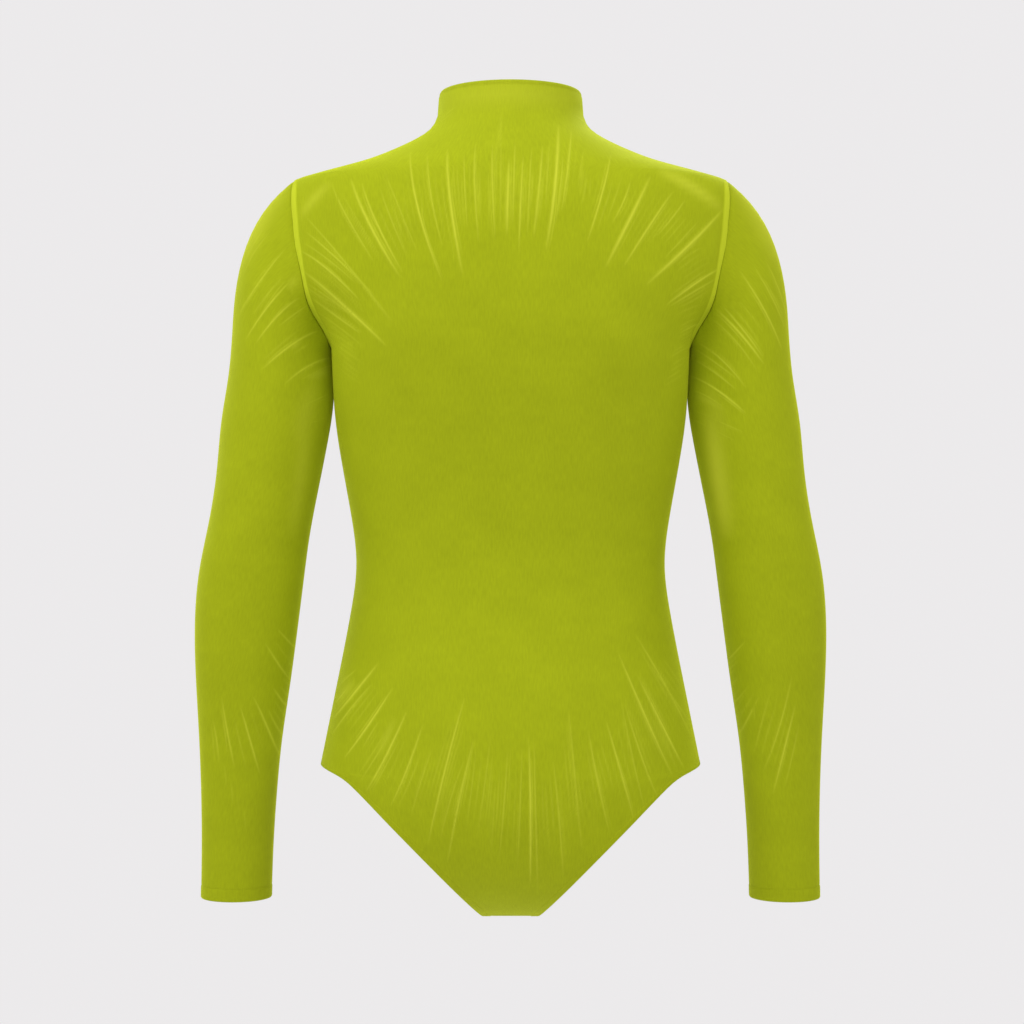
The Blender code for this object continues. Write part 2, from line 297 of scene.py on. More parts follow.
ARMHOLE_FAN_LEFT = table(
    StretchRow,
    (176, -66, 140, -108, 97, -162, 0.55),
    (174, -81, 143, -109, 112, -140, 0.7),
    (175, -91, 152, -108, 128, -129, 0.45),
    (179, -97, 155, -114, 125, -143, 0.85),
    (176, -115, 147, -139, 102, -182, 1, 1.3),
    (173, -125, 143, -146, 111, -172, 0.6),
    (174, -127, 160, -137, 144, -145, 0.4),
    (169, -137, 149, -152, 125, -170, 0.75),
    (166, -147, 147, -161, 124, -180, 0.4),
    (161, -161, 142, -173, 129, -183, 0.35),
    (156, -171, 138, -184, 123, -195, 0.35),
    (151, -177, 137, -190, 126, -199, 0.25),
    (146, -196, 135, -205, 126, -211, 0.2),
)
ARMHOLE_FAN_RIGHT = table(
    StretchRow,
    (-182, -60, -153, -92, -112, -131, 1, 1.5),
    (-162, -96, -150, -103, -139, -113, 0.35),
    (-179, -112, -161, -123, -130, -146, 1),
    (-175, -121, -160, -130, -133, -147, 0.65),
    (-169, -130, -153, -141, -140, -147, 0.35),
    (-161, -143, -151, -147, -140, -153, 0.3),
    (-167, -154, -152, -162, -143, -168, 0.5),
    (-154, -176, -143, -183, -134, -189, 0.3),
    (-153, -185, -143, -190, -136, -196, 0.25),
    (-151, -199, -140, -206, -129, -213, 0.2),
)
HIP_FAN = table(
    StretchRow,
    (149, -470, 140, -461, 131, -453, 0.5),
    (152, -485, 144.5, -476, 137, -467, 0.8),
    (153.5, -498, 138, -479.5, 111, -446, 1, 1.2),
    (154, -511, 134, -484, 116.5, -464, 0.7),
    (142, -529, 121, -500.5, 98, -465.5, 0.95),
    (124, -517, 117, -505, 110, -494, 0.4),
    (129, -541, 110.5, -513, 99, -492, 0.35),
    (126, -545, 106, -513, 94, -492, 0.45),
    (121, -553, 103.5, -522, 85, -482, 0.95),
    (116, -553, 102, -527, 92, -508, 0.4),
    (99.6, -563, 86, -533, 72, -493.5, 0.75),
    (94, -565, 81, -537, 74, -517, 0.35),
    (82, -570, 74, -542, 64, -513, 0.4),
    (68, -593, 53, -528, 37, -470, 0.85),
    (58, -590, 48, -551, 37, -521, 0.4),
    (52, -609, 42, -556, 30, -505, 0.8),
    (48, -570, 39.5, -542, 34, -519, 0.45),
    (37, -583, 32, -547, 28, -512, 0.3),
    (28, -590, 21, -542, 16, -500, 0.35),
    (16, -604, 14, -570, 12, -537, 0.3),
    (9.5, -607, 5, -556, 2, -512, 0.45),
    (-5.5, -616, -8, -560, -9.5, -510, 0.4),
    (-16.4, -630, -16.4, -560, -15, -507, 1),
    (-23, -639, -20.5, -560, -19.4, -505, 0.5),
    (-33, -606, -30, -570, -29, -537, 0.3),
    (-44, -623, -39.5, -565, -35, -523.5, 0.55),
    (-59, -600, -53, -537, -48, -480, 0.5),
    (-60, -597, -55, -565, -52, -537, 0.35),
    (-82, -584, -72.5, -544, -64, -498, 0.65),
    (-77, -560, -72, -537, -67, -517, 0.4),
    (-102.5, -574, -91, -533, -79, -491, 0.8),
    (-112, -567, -102.5, -528, -92, -475, 0.45),
    (-124, -559, -111, -528, -95, -478, 0.6),
    (-137, -542, -116, -497, -90, -436, 0.9),
    (-142, -540, -132, -516, -123, -495, 0.35),
    (-147.5, -537, -127, -497, -107, -457, 1),
    (-156, -513, -132, -467, -106, -423, 0.7),
    (-155, -501, -137, -475, -116, -445, 0.5),
    (-150, -473, -140, -458, -131, -445, 0.3),
)
# Painted light: soft paler areas standing for sheen and light on the collar, beside the shoulders and on the
# hips.
PAINTED_LIGHT_PATCHES = table(
    StretchRow,
    (-95, 36, 0, 40, 95, 36, 0.26, 20),
    (-123, -30, -154, -44, -181, -62, 0.5, 7),
    (151, -39, 171, -58, 178, -70, 0.35, 7),
    (150, -486, 142, -474, 132, -462, 0.35, 6),
    (112, -525, 104, -508, 96, -490, 0.25, 5),
)
CAP_LINES_LEFT = table(
    StretchRow,
    (217, -65, 227, -85, 234, -104, 0.55),
    (209, -71, 222, -88, 232, -107, 0.6),
    (205, -77, 220, -94, 231, -114, 0.45),
    (192, -94, 209, -114, 235, -149, 0.65),
    (199, -100, 212, -114, 223, -128, 0.3),
    (192, -117, 206, -131, 216, -144, 0.35),
    (186, -121, 205, -141, 228, -172, 0.8),
    (195, -118, 208, -134, 221, -150, 0.4),
    (180.5, -136, 198, -151, 218, -175, 0.8),
    (173, -141, 186, -151, 198, -161, 0.4),
    (181, -163, 195, -175, 212, -190, 0.35),
    (166, -162, 188, -177, 212, -197, 0.9),
    (172, -174, 179, -179, 186, -184, 0.3),
    (155, -183, 174, -194, 193, -210, 0.75),
    (156, -190, 169, -199, 180, -206, 0.45),
    (158, -216, 169, -223, 182, -230, 0.45),
    (158, -236, 169, -241, 180, -247, 0.3),
)
CAP_LINES_RIGHT = table(
    StretchRow,
    (-195, -112, -217, -146, -235, -181, 0.8),
    (-208, -108, -224, -134, -238, -161, 0.55),
    (-218, -101, -229, -121, -240, -150, 0.5),
    (-217, -118, -228, -137, -237, -152, 0.4),
    (-176, -145, -197, -168, -217, -193, 1),
    (-181.5, -143, -201, -167, -216, -187, 0.8),
    (-172, -152, -193, -174, -211, -199, 0.45),
    (-187, -142, -202, -159, -214, -177, 0.35),
    (-194, -139, -206, -152, -216, -166, 0.3),
    (-162, -172, -182, -190, -201, -213, 0.65),
    (-160, -177, -177, -192, -194, -206, 0.5),
    (-159, -186, -176, -200, -193, -215, 0.6),
    (-157, -200, -179, -216, -201, -235, 1),
    (-158.5, -213, -170, -220, -183, -230, 0.7),
    (-158.5, -220, -172, -228, -187, -238, 0.35),
    (-159, -230, -176, -240, -199, -251, 0.45),
    (-159, -238, -174, -248, -192, -258, 0.5),
    (-159, -248, -173, -255, -187, -264, 0.35),
    (-160, -257, -173, -265, -184, -272, 0.3),
    (-163, -271, -176, -278, -186, -285, 0.2),
)
# Painted light on the sleeves: paler areas on the inner sides and by the armholes, where the sleeves lie in
# the body's shade.
SLEEVE_PAINTED_LIGHT = table(
    StretchRow,
    (-159, -217, -173, -225, -184, -234, 0.35, 6),
    (-170, -225, -177, -280, -187, -345, 0.6, 10),
    (172, -225, 179, -280, 188, -345, 0.25, 10),
    (158, -194, 166, -200, 175, -205, 0.35, 6),
    (180, -171, 184, -175, 188, -180, 0.3, 5),
    (182, -117, 186, -124, 189, -131, 0.25, 6),
)
# Painted light on both sleeves: the caps' tops and the inner sides below the armpits made paler.
BOTH_SLEEVES_PAINTED_LIGHT = table(
    StretchRow,
    (192, -38, 216, -62, 240, -112, 0.45, 16),
    (166, -200, 176, -238, 180, -275, 0.24, 13),
)
FOREARM_LINES_LEFT = table(
    StretchRow,
    (201, -420, 194, -430, 187.5, -441, 0.6),
    (211, -432, 202.5, -448, 192, -469, 0.65),
    (194, -450.5, 192, -453, 190, -456, 0.35),
    (206, -471, 201, -481, 195, -494.5, 0.7),
    (210, -490, 206, -502, 199, -520, 0.5),
    (222, -478, 213, -501, 202.5, -536, 0.75),
    (233, -486.5, 227, -510, 218, -548, 0.75),
    (249, -479.5, 245, -507, 239, -541, 0.7),
    (250, -487, 247, -508, 245, -529, 0.4),
    (258, -499, 255, -514, 253, -536, 0.55),
    (260, -501, 258, -518, 257, -536, 0.3),
    (232, -578, 231, -590, 231, -597, 0.2),
)
FOREARM_LINES_RIGHT = table(
    StretchRow,
    (-188, -453, -196, -440, -203, -430, 0.55),
    (-190, -470, -191, -464, -195, -457, 0.35),
    (-200, -518, -207, -498, -215, -478, 0.6),
    (-190, -500, -198, -484, -206, -470, 0.4),
    (-242, -460, -232, -506, -219, -547, 0.6),
    (-246, -484, -237, -524, -228, -565, 0.85),
    (-250, -500, -244, -530, -238, -558, 0.4),
    (-224, -474, -218, -500, -212, -530, 0.4),
)
PAINTED_LIGHT_WIDTH = 4  # rows at least this wide are soft areas of painted light, with no ridge of their own
STRONG_LINE = 0.38  # lines stronger than this are laid out the most finely, and have a strand beside them
LINE_MARGIN = 8 * MM  # how far beside a line the cloth is looked at

# ---------------------------------------------------------------------------------------------------------
# Settings


class ClothSettings(bpy.types.PropertyGroup):
    """Sizes and colours of the cloth."""

    thickness: bpy.props.FloatProperty(
        name="Thickness", description="Thickness of the cloth's walls", default=1.3 * MM,
        min=0.0005, unit="LENGTH"
    )
    ridge_width: bpy.props.FloatProperty(
        name="Ridge Width", description="Half width of a stretch line", default=0.8 * MM,
        min=0.0002, unit="LENGTH"
    )
    ridge_lift: bpy.props.FloatProperty(
        name="Ridge Lift", description="How far the strongest stretch line rises", default=0.3 * MM,
        unit="LENGTH"
    )
    mesh_step: bpy.props.FloatProperty(
        name="Mesh Step", description="Size of the cloth's cells away from stretch lines", default=5.5 * MM,
        min=0.002, unit="LENGTH"
    )
    line_step: bpy.props.FloatProperty(
        name="Line Step", description="Size of the cloth's cells across a strong stretch line",
        default=0.62 * MM, min=0.0003, unit="LENGTH"
    )
    seam_width: bpy.props.FloatProperty(
        name="Seam Width", description="How far the armhole's seam reaches onto the body", default=6 * MM,
        unit="LENGTH"
    )
    seam_lap: bpy.props.FloatProperty(
        name="Seam Lap", description="How far the armhole's seam laps over the sleeve", default=2.9 * MM,
        min=0.5 * MM, unit="LENGTH"
    )
    seam_lift: bpy.props.FloatProperty(
        name="Seam Lift", description="How far the armhole's seam rises", default=0.7 * MM, unit="LENGTH"
    )
    seam_drop: bpy.props.FloatProperty(
        name="Seam Drop", description="How far the sleeve's edge lies below the seam", default=1.3 * MM,
        unit="LENGTH"
    )
    hem_depth: bpy.props.FloatProperty(
        name="Hem Depth", description="How far up the cuffs are turned in", default=11 * MM, unit="LENGTH"
    )
    colour: bpy.props.FloatVectorProperty(
        name="Colour", description="The knit's colour", subtype="COLOR", size=3, min=0, max=1,
        default=(0.4, 0.463, 0.0105)
    )
    # Colour of the stretch lines, the stretched knit's paler yarn with a painted highlight, and of the areas
    # of painted light.
    pale_highlight_colour: bpy.props.FloatVectorProperty(
        name="Stretched Colour", description="The knit's paler colour where it is stretched", subtype="COLOR",
        size=3, min=0, max=1, default=(0.68, 0.72, 0.05)
    )
    knit_pitch: bpy.props.FloatProperty(
        name="Knit Pitch", description="Distance between the knit's ribs", default=0.9 * MM, unit="LENGTH"
    )


class StudioSettings(bpy.types.PropertyGroup):
    """Sizes and colours of the studio."""

    camera_distance: bpy.props.FloatProperty(
        name="Camera Distance", description="From the garment's middle plane to the camera",
        default=1.67, unit="LENGTH"
    )
    camera_height: bpy.props.FloatProperty(
        name="Camera Height", description="Height of the camera above the shoulders",
        default=-0.319, unit="LENGTH"
    )
    camera_side: bpy.props.FloatProperty(
        name="Camera Side", description="How far the camera stands to the wearer's left",
        default=-0.0013, unit="LENGTH"
    )
    view_width: bpy.props.FloatProperty(
        name="View Width", description="Width of the view at the garment", default=0.9011, unit="LENGTH"
    )
    floor_drop: bpy.props.FloatProperty(
        name="Floor Drop", description="Depth of the floor below the shoulders", default=1.42, unit="LENGTH"
    )
    floor_radius: bpy.props.FloatProperty(
        name="Floor Radius", description="Radius of the floor", default=2.2, unit="LENGTH"
    )
    backdrop: bpy.props.FloatVectorProperty(
        name="Backdrop", description="Colour behind the garment", subtype="COLOR", size=3, min=0, max=1,
        default=(0.838, 0.824, 0.832)
    )


# ---------------------------------------------------------------------------------------------------------
# Surfaces. Every function here takes numpy arrays.

# How far to each side surfaces are looked at to find their slants.
PLACE_STEP = 2e-3
TURN_STEP = 5e-3
RING_STEP = 0.2


def spline(places, values, level_ends=False):
    """A smooth curve through table rows, as a function of place. Its ends run straight on, or level."""
    order = np.argsort(places)
    x = np.asarray(places, float)[order]
    y = np.asarray(values, float)[order]
    h = np.diff(x)
    slope = np.diff(y) / h
    matrix = np.eye(len(x))
    right = np.zeros(len(x))
    for i in range(1, len(x) - 1):
        matrix[i, i - 1 : i + 2] = h[i - 1], 2 * (h[i - 1] + h[i]), h[i]
        right[i] = 6 * (slope[i] - slope[i - 1])
    if level_ends:
        matrix[0, :2] = 2 * h[0], h[0]
        matrix[-1, -2:] = h[-1], 2 * h[-1]
        right[0], right[-1] = 6 * slope[0], -6 * slope[-1]
    bend = np.linalg.solve(matrix, right)

    def at(place):
        i = np.clip(np.searchsorted(x, place) - 1, 0, len(h) - 1)
        a, b = x[i + 1] - place, place - x[i]
        cubic = (bend[i] * a**3 + bend[i + 1] * b**3) / (6 * h[i])
        return cubic + (y[i] / h[i] - bend[i] * h[i] / 6) * a + (y[i + 1] / h[i] - bend[i + 1] * h[i] / 6) * b

    return at


def columns(rows, place, unit=MM, level_ends=False):
    """One spline for each other column of a table, by name."""
    scale = MM if place == "height" else 1
    places = [getattr(row, place) * scale for row in rows]
    return {
        name: spline(places, [getattr(row, name) * unit for row in rows], level_ends)
        for name in rows[0]._fields
        if name != place
    }


centre = columns(CENTRE_LINE, "height")
squareness = columns(SQUARENESS, "height", unit=1)
shoulder = columns(SHOULDER_LINE, "height")
side = columns(SIDE_LINE, "height")
armhole = columns(ARMHOLE_LINE, "share", level_ends=True)
leg = columns(LEG_LINE, "share", level_ends=True)
armhole_seam = columns(ARMHOLE_SEAM, "share", unit=1, level_ends=True)
rings = {
    name: spline(range(len(SLEEVE_RINGS)), [getattr(row, name) * MM for row in SLEEVE_RINGS])
    for name in RingRow._fields
}


def smooth(low, high, value):
    """0 below low, 1 above high, and a smooth step between."""
    share = np.clip((value - low) / (high - low), 0, 1)
    return share * share * (3 - 2 * share)


def near(distance, width):
    """1 where a distance is nothing, falling away softly over about a width."""
    return np.exp(-((distance / width) ** 2))


def unit(vectors):
    """Vectors brought to a length of one."""
    return vectors / np.maximum(np.linalg.norm(vectors, axis=-1, keepdims=True), 1e-12)


def body_section(face, place):
    """The height of the sections at places, how far out they end, and how far they would go on uncut.
    place runs 0 to 1 from neck edge to shoulder tip, to 2 down the armhole, to 3 down the side seam and to 4
    down the leg opening to the crotch."""
    zone = np.clip(np.floor(place), 0, 3)
    share = place - zone
    fall = (1 - np.cos(np.pi * share)) / 2
    zones = [zone == 0, zone == 1, zone == 2]
    heights = [
        NECK_EDGE + (SHOULDER_TIP - NECK_EDGE) * share,
        SHOULDER_TIP + (UNDERARM - SHOULDER_TIP) * fall,
        UNDERARM + (HIP_CORNER - UNDERARM) * share,
    ]
    height = np.select(zones, heights, HIP_CORNER + (CROTCH - HIP_CORNER) * fall)
    outs = [shoulder["out"](height), armhole[face + "_out"](share), side["out"](height)]
    out = np.select(zones, outs, leg[face + "_out"](share))
    reach = np.where(zone == 1, armhole[face + "_reach"](share), out)
    reach = np.maximum(np.where(zone == 3, leg[face + "_reach"](share), reach), out)
    power = SEAT_ROUNDNESS if face == "back" else BELLY_ROUNDNESS
    rounding = np.where(zone == 3, np.sqrt(np.clip(1 - fall**power, 0, 1)), 1)
    return height, out, reach, rounding


def body_points(face, place, across):
    """Points of the body's outer surface. across is -1 at the right edge to 1 at the left."""
    place, across = np.broadcast_arrays(np.asarray(place, float), np.asarray(across, float))
    height, out, reach, rounding = body_section(face, place)
    lean = smooth(NECK_LEAN_FOOT, NECK_EDGE, height) * NECK_SEAM_DEPTH
    turn = across * np.arcsin(out / reach)
    bulge = np.sqrt(np.clip(1 - np.abs(np.sin(turn)) ** squareness[face](height), 0, 1))
    gap = PANEL_GAP / 2 if face == "back" else -PANEL_GAP / 2
    depth = lean + (centre[face](height) * rounding - lean) * bulge + gap
    return np.stack([reach * np.sin(turn), depth, height], -1)


def normals(surface, a, b, a_range, b_range, step=PLACE_STEP):
    """Unit normals of a surface of two parameters, from points a little way to each side."""
    along_a = surface(np.minimum(a + step, a_range[1]), b) - surface(np.maximum(a - step, a_range[0]), b)
    along_b = surface(a, np.minimum(b + step, b_range[1])) - surface(a, np.maximum(b - step, b_range[0]))
    return unit(np.cross(along_b, along_a))


def body_normals(face, place, across):
    """Outward normals of the body's surface, with no slant to front or back along the seams between them."""
    place, across = np.broadcast_arrays(np.asarray(place, float), np.asarray(across, float))
    low = np.select([place <= 1, (place >= 2) & (place <= 3)], [0, 2], 0)
    high = np.select([place <= 1, (place >= 2) & (place <= 3)], [1, 3], 4)
    normal = normals(lambda a, b: body_points(face, a, b), place, across, (low, high), (-1, 1))
    seam = (high - low == 1) & (np.abs(across) > 0.9999)
    normal = unit(np.where(seam[..., None], normal * np.array([1, 0, 1]), normal))
    return normal if face == "back" else -normal


def on_armhole(points_of, turn):
    """A value along the left armhole, with 0 at the shoulder tip, a half turn at the underarm and the back
    first."""
    turn = np.mod(turn, 1)
    place = 1 + 2 * np.where(turn <= 0.5, turn, 1 - turn)
    return np.where((turn <= 0.5)[..., None], points_of("back", place, 1), points_of("front", place, 1))


def armhole_outward(turn):
    """The way on from a panel's edge along the left armhole, level with its surface."""
    ahead = on_armhole(body_points, turn + TURN_STEP) - on_armhole(body_points, turn - TURN_STEP)
    outward = unit(np.cross(on_armhole(body_normals, turn), ahead))
    return np.where(outward[..., :1] > 0, outward, -outward)


def cap_start(turn):
    """Where the left sleeve starts, the direction in which it leaves the armhole, and the body's normal."""
    normal, outward = on_armhole(body_normals, turn), armhole_outward(turn)
    down = 1 - np.abs(1 - 2 * np.mod(turn, 1))
    fold = smooth(CREASE_START, 1, down)[..., None]
    fall = np.radians(CAP_FALL_AT_TIP + (CAP_FALL_AT_UNDERARM - CAP_FALL_AT_TIP) * down)
    leaving = np.stack([np.cos(fall), np.zeros_like(fall), -np.sin(fall)], -1)
    eased = (1 - fold) * (1 - CAP_CREASE_AT_TIP * (1 - down) ** 3)[..., None]
    leaving = leaving - normal * (leaving * normal).sum(-1, keepdims=True) * eased
    start = on_armhole(body_points, turn) + outward * ARMHOLE_GAP * (1 - fold)
    return start + normal * UNDERARM_GAP * fold, unit(leaving), normal


def arm_points(turn, ring):
    """Points of the left sleeve below its cap; ring counts down the rows of the table."""
    at = {name: column(ring) for name, column in rings.items()}
    outer = np.stack([at["outer_out"], at["back"], at["outer_height"]], -1)
    inner = np.stack([at["inner_out"], at["back"], at["inner_height"]], -1)
    angle = 2 * np.pi * turn
    swing = np.stack([0 * angle, at["half_depth"] * np.sin(angle), 0 * angle], -1)
    return (outer + inner) / 2 + (outer - inner) / 2 * np.cos(angle)[..., None] + swing


def sleeve_points(turn, down):
    """Points of the left sleeve's outer surface. down is 0 to 1 over the cap, then counts the rings."""
    turn, down = np.broadcast_arrays(np.asarray(turn, float), np.asarray(down, float))
    start, leaving, _ = cap_start(turn)
    end = arm_points(turn, 0 * turn)
    arriving = unit(arm_points(turn, 0 * turn + RING_STEP) - end)
    length = np.linalg.norm(end - start, axis=-1, keepdims=True)
    first = start + leaving * length * CAP_START_HANDLE
    last = end - arriving * length * CAP_END_HANDLE
    d = np.clip(down, 0, 1)[..., None]
    up = 1 - d
    cap = start * up**3 + first * 3 * up**2 * d + last * 3 * up * d**2 + end * d**3
    return np.where((down >= 1)[..., None], arm_points(turn, np.maximum(down - 1, 0)), cap)


def sleeve_normals(turn, down):
    """Outward normals of the left sleeve, shared with the body along the armhole's seam."""
    turn, down = np.broadcast_arrays(np.asarray(turn, float), np.asarray(down, float))
    normal = normals(sleeve_points, turn, down, (-1, 2), (0, len(SLEEVE_RINGS)))
    fold = smooth(CREASE_START, 1, 1 - np.abs(1 - 2 * np.mod(turn, 1)))[..., None]
    shared = unit(cap_start(turn)[2] * (1 - fold) + normal * fold)
    return np.where((down <= 0)[..., None], shared, normal)


# ---------------------------------------------------------------------------------------------------------
# Stretch lines


def knots(row):
    """The start, middle and end of a stretch line."""
    return [np.array(row[i : i + 2]) for i in (0, 2, 4)]


def route(row, steps=9):
    """The points of a stretch line, in metres, along a curve through its three places."""
    start, mid, end = (place * MM for place in knots(row))
    handle = 2 * mid - (start + end) / 2
    t = np.linspace(0, 1, steps)[:, None]
    return start * (1 - t) ** 2 + handle * 2 * t * (1 - t) + end * t**2


def between(rows, nearest=4.4, strength=0.22):
    """Fainter, shorter lines that fill the wider gaps between the neighbours of a fan."""
    made = []
    for number, (first, second) in enumerate(zip(rows, rows[1:])):
        gap = math.hypot(first.mid_out - second.mid_out, first.mid_height - second.mid_height)
        count = int(min(gap / nearest, 5)) - 1
        for k in range(max(count, 0)):
            share = (k + 1) / (count + 1)
            start, mid, end = (knots(first)[i] * (1 - share) + knots(second)[i] * share for i in range(3))
            shift = 0.22 * math.sin(2.4 * number + 1.7 * k)  # uneven, as the others are
            start, end = start + (mid - start) * (0.3 + shift), end + (mid - end) * (0.25 - shift)
            made.append(StretchRow(*start, *mid, *end, strength * (1 + 2 * shift)))
    return tuple(made)


def strands(rows, strength=0.5):
    """A finer line close beside each strong one, as stretched yarns show in twos and threes."""
    made = []
    for number, row in enumerate(r for r in rows if r.strength > STRONG_LINE):
        start, mid, end = knots(row)
        along = end - start
        away = np.array([-along[1], along[0]]) / math.hypot(*along) * (2 + 0.5 * math.sin(1.9 * number))
        away *= (-1) ** number
        shift = 0.18 * math.sin(2.7 * number)
        start, mid, end = start + away + along * (0.2 + shift), mid + away + along * shift, end + away * 0.8
        made.append(StretchRow(*start, *mid, *(end + along * (shift - 0.15)), row.strength * strength, 0.8))
    return tuple(made)


def mirrored(rows, strength=1.0):
    """The same lines on the other side."""
    return tuple(
        StretchRow(-r[0], r[1], -r[2], r[3], -r[4], r[5], r.strength * strength, r.width) for r in rows
    )


def beside_line(seen, row, margin):
    """Of points seen square on, those beside a stretch line: which they are, how far away, at what share of
    its length, and the way it runs there."""
    path = route(row)
    beside = np.flatnonzero(((seen > path.min(0) - margin) & (seen < path.max(0) + margin)).all(1))
    steps = np.diff(path, axis=0)
    lengths = np.linalg.norm(steps, axis=1)
    offset = seen[beside][:, None] - path[:-1]
    share = np.clip((offset * steps).sum(2) / lengths**2, 0, 1)
    distance = np.linalg.norm(offset - share[..., None] * steps, axis=2)
    best = distance.argmin(1)
    at = (np.arange(len(beside)), best)
    along = ((np.cumsum(lengths) - lengths)[best] + share[at] * lengths[best]) / lengths.sum()
    return beside, distance[at], along, (steps / lengths[:, None])[best]


def line_field(points, rows, width):
    """For points seen square on, how strongly stretch lines and soft areas of painted light mark them, apart.
    """
    seen = points[:, [0, 2]]
    lines, painted_light_field = np.zeros(len(seen)), np.zeros(len(seen))
    for row in rows:
        beside, distance, along, _ = beside_line(seen, row, LINE_MARGIN * max(row.width / 2, 1))
        taper = np.sin(np.pi * np.clip(along, 0, 1)) ** 0.7
        waist = width * row.width * (0.62 + 0.5 * row.strength) * (0.75 + 0.25 * taper)
        field = painted_light_field if row.width >= PAINTED_LIGHT_WIDTH else lines
        field[beside] = np.maximum(field[beside], row.strength * taper * near(distance, waist))
    return lines, painted_light_field


def nearest_line(points, rows):
    """For points seen square on, the distance to the nearest stretch line, the way it runs and its
    strength."""
    seen = points[:, [0, 2]]
    nearest, strength, way = np.full(len(seen), 1.0), np.zeros(len(seen)), np.zeros((len(seen), 2))
    for row in rows:
        if row.width >= PAINTED_LIGHT_WIDTH:
            continue
        beside, distance, _, runs = beside_line(seen, row, LINE_MARGIN)
        closer = distance < nearest[beside]
        chosen = beside[closer]
        nearest[chosen], way[chosen], strength[chosen] = distance[closer], runs[closer], row.strength
    return nearest, way, strength


BACK_LINES = (
    NECK_FAN + NECK_CREASES + ARMHOLE_FAN_LEFT + ARMHOLE_FAN_RIGHT + HIP_FAN + PAINTED_LIGHT_PATCHES
    + between(NECK_FAN) + between(ARMHOLE_FAN_LEFT) + between(ARMHOLE_FAN_RIGHT) + between(HIP_FAN)
    + strands(NECK_FAN + ARMHOLE_FAN_LEFT + ARMHOLE_FAN_RIGHT + HIP_FAN)
)
FRONT_LINES = mirrored(BACK_LINES, 0.8)
SLEEVE_LINES = {
    1: CAP_LINES_LEFT + FOREARM_LINES_LEFT + SLEEVE_PAINTED_LIGHT[2:] + between(FOREARM_LINES_LEFT, 7)
    + strands(CAP_LINES_LEFT) + BOTH_SLEEVES_PAINTED_LIGHT,
    -1: CAP_LINES_RIGHT + FOREARM_LINES_RIGHT + SLEEVE_PAINTED_LIGHT[:2] + between(FOREARM_LINES_RIGHT, 7)
    + strands(CAP_LINES_RIGHT) + mirrored(BOTH_SLEEVES_PAINTED_LIGHT),
}

# ---------------------------------------------------------------------------------------------------------
# Building a shell of cloth

REFINEMENTS = 4  # how often cells near stretch lines are halved
ROW_STEPS = (1.5, 1, 1.35, 1.35)  # how far apart rows are in each zone of a panel, in mesh steps
EDGE_STEPS = tuple(d * MM for d in (0, 0.35, 0.8, 1.4, 2.1, 3.0, 4.0, 5.0, 6.2))
LINE_CORE = 0.5 * MM  # an edge is halved when a line passes within this and about half its own reach
RIM_ROUNDING = 0.38  # how much of the wall's thickness its rims lose on each side
RIM_WIDTH = 0.55 * MM


def even_steps(path, step, close_start=(), close_end=()):
    """Shares of a densely sampled path, step apart, with extra ones at given distances from its two ends."""
    passed = np.concatenate([[0], np.cumsum(np.linalg.norm(np.diff(path, axis=0), axis=1))])
    total = passed[-1]
    first = close_start[-1] if close_start else 0
    last = total - (close_end[-1] if close_end else 0)
    count = max(int(round((last - first) / step)), 1)
    places = list(close_start[:-1]) + list(np.linspace(first, last, count + 1))
    places += [total - d for d in reversed(close_end[:-1])]
    return np.interp(places, passed, np.linspace(0, 1, len(path)))


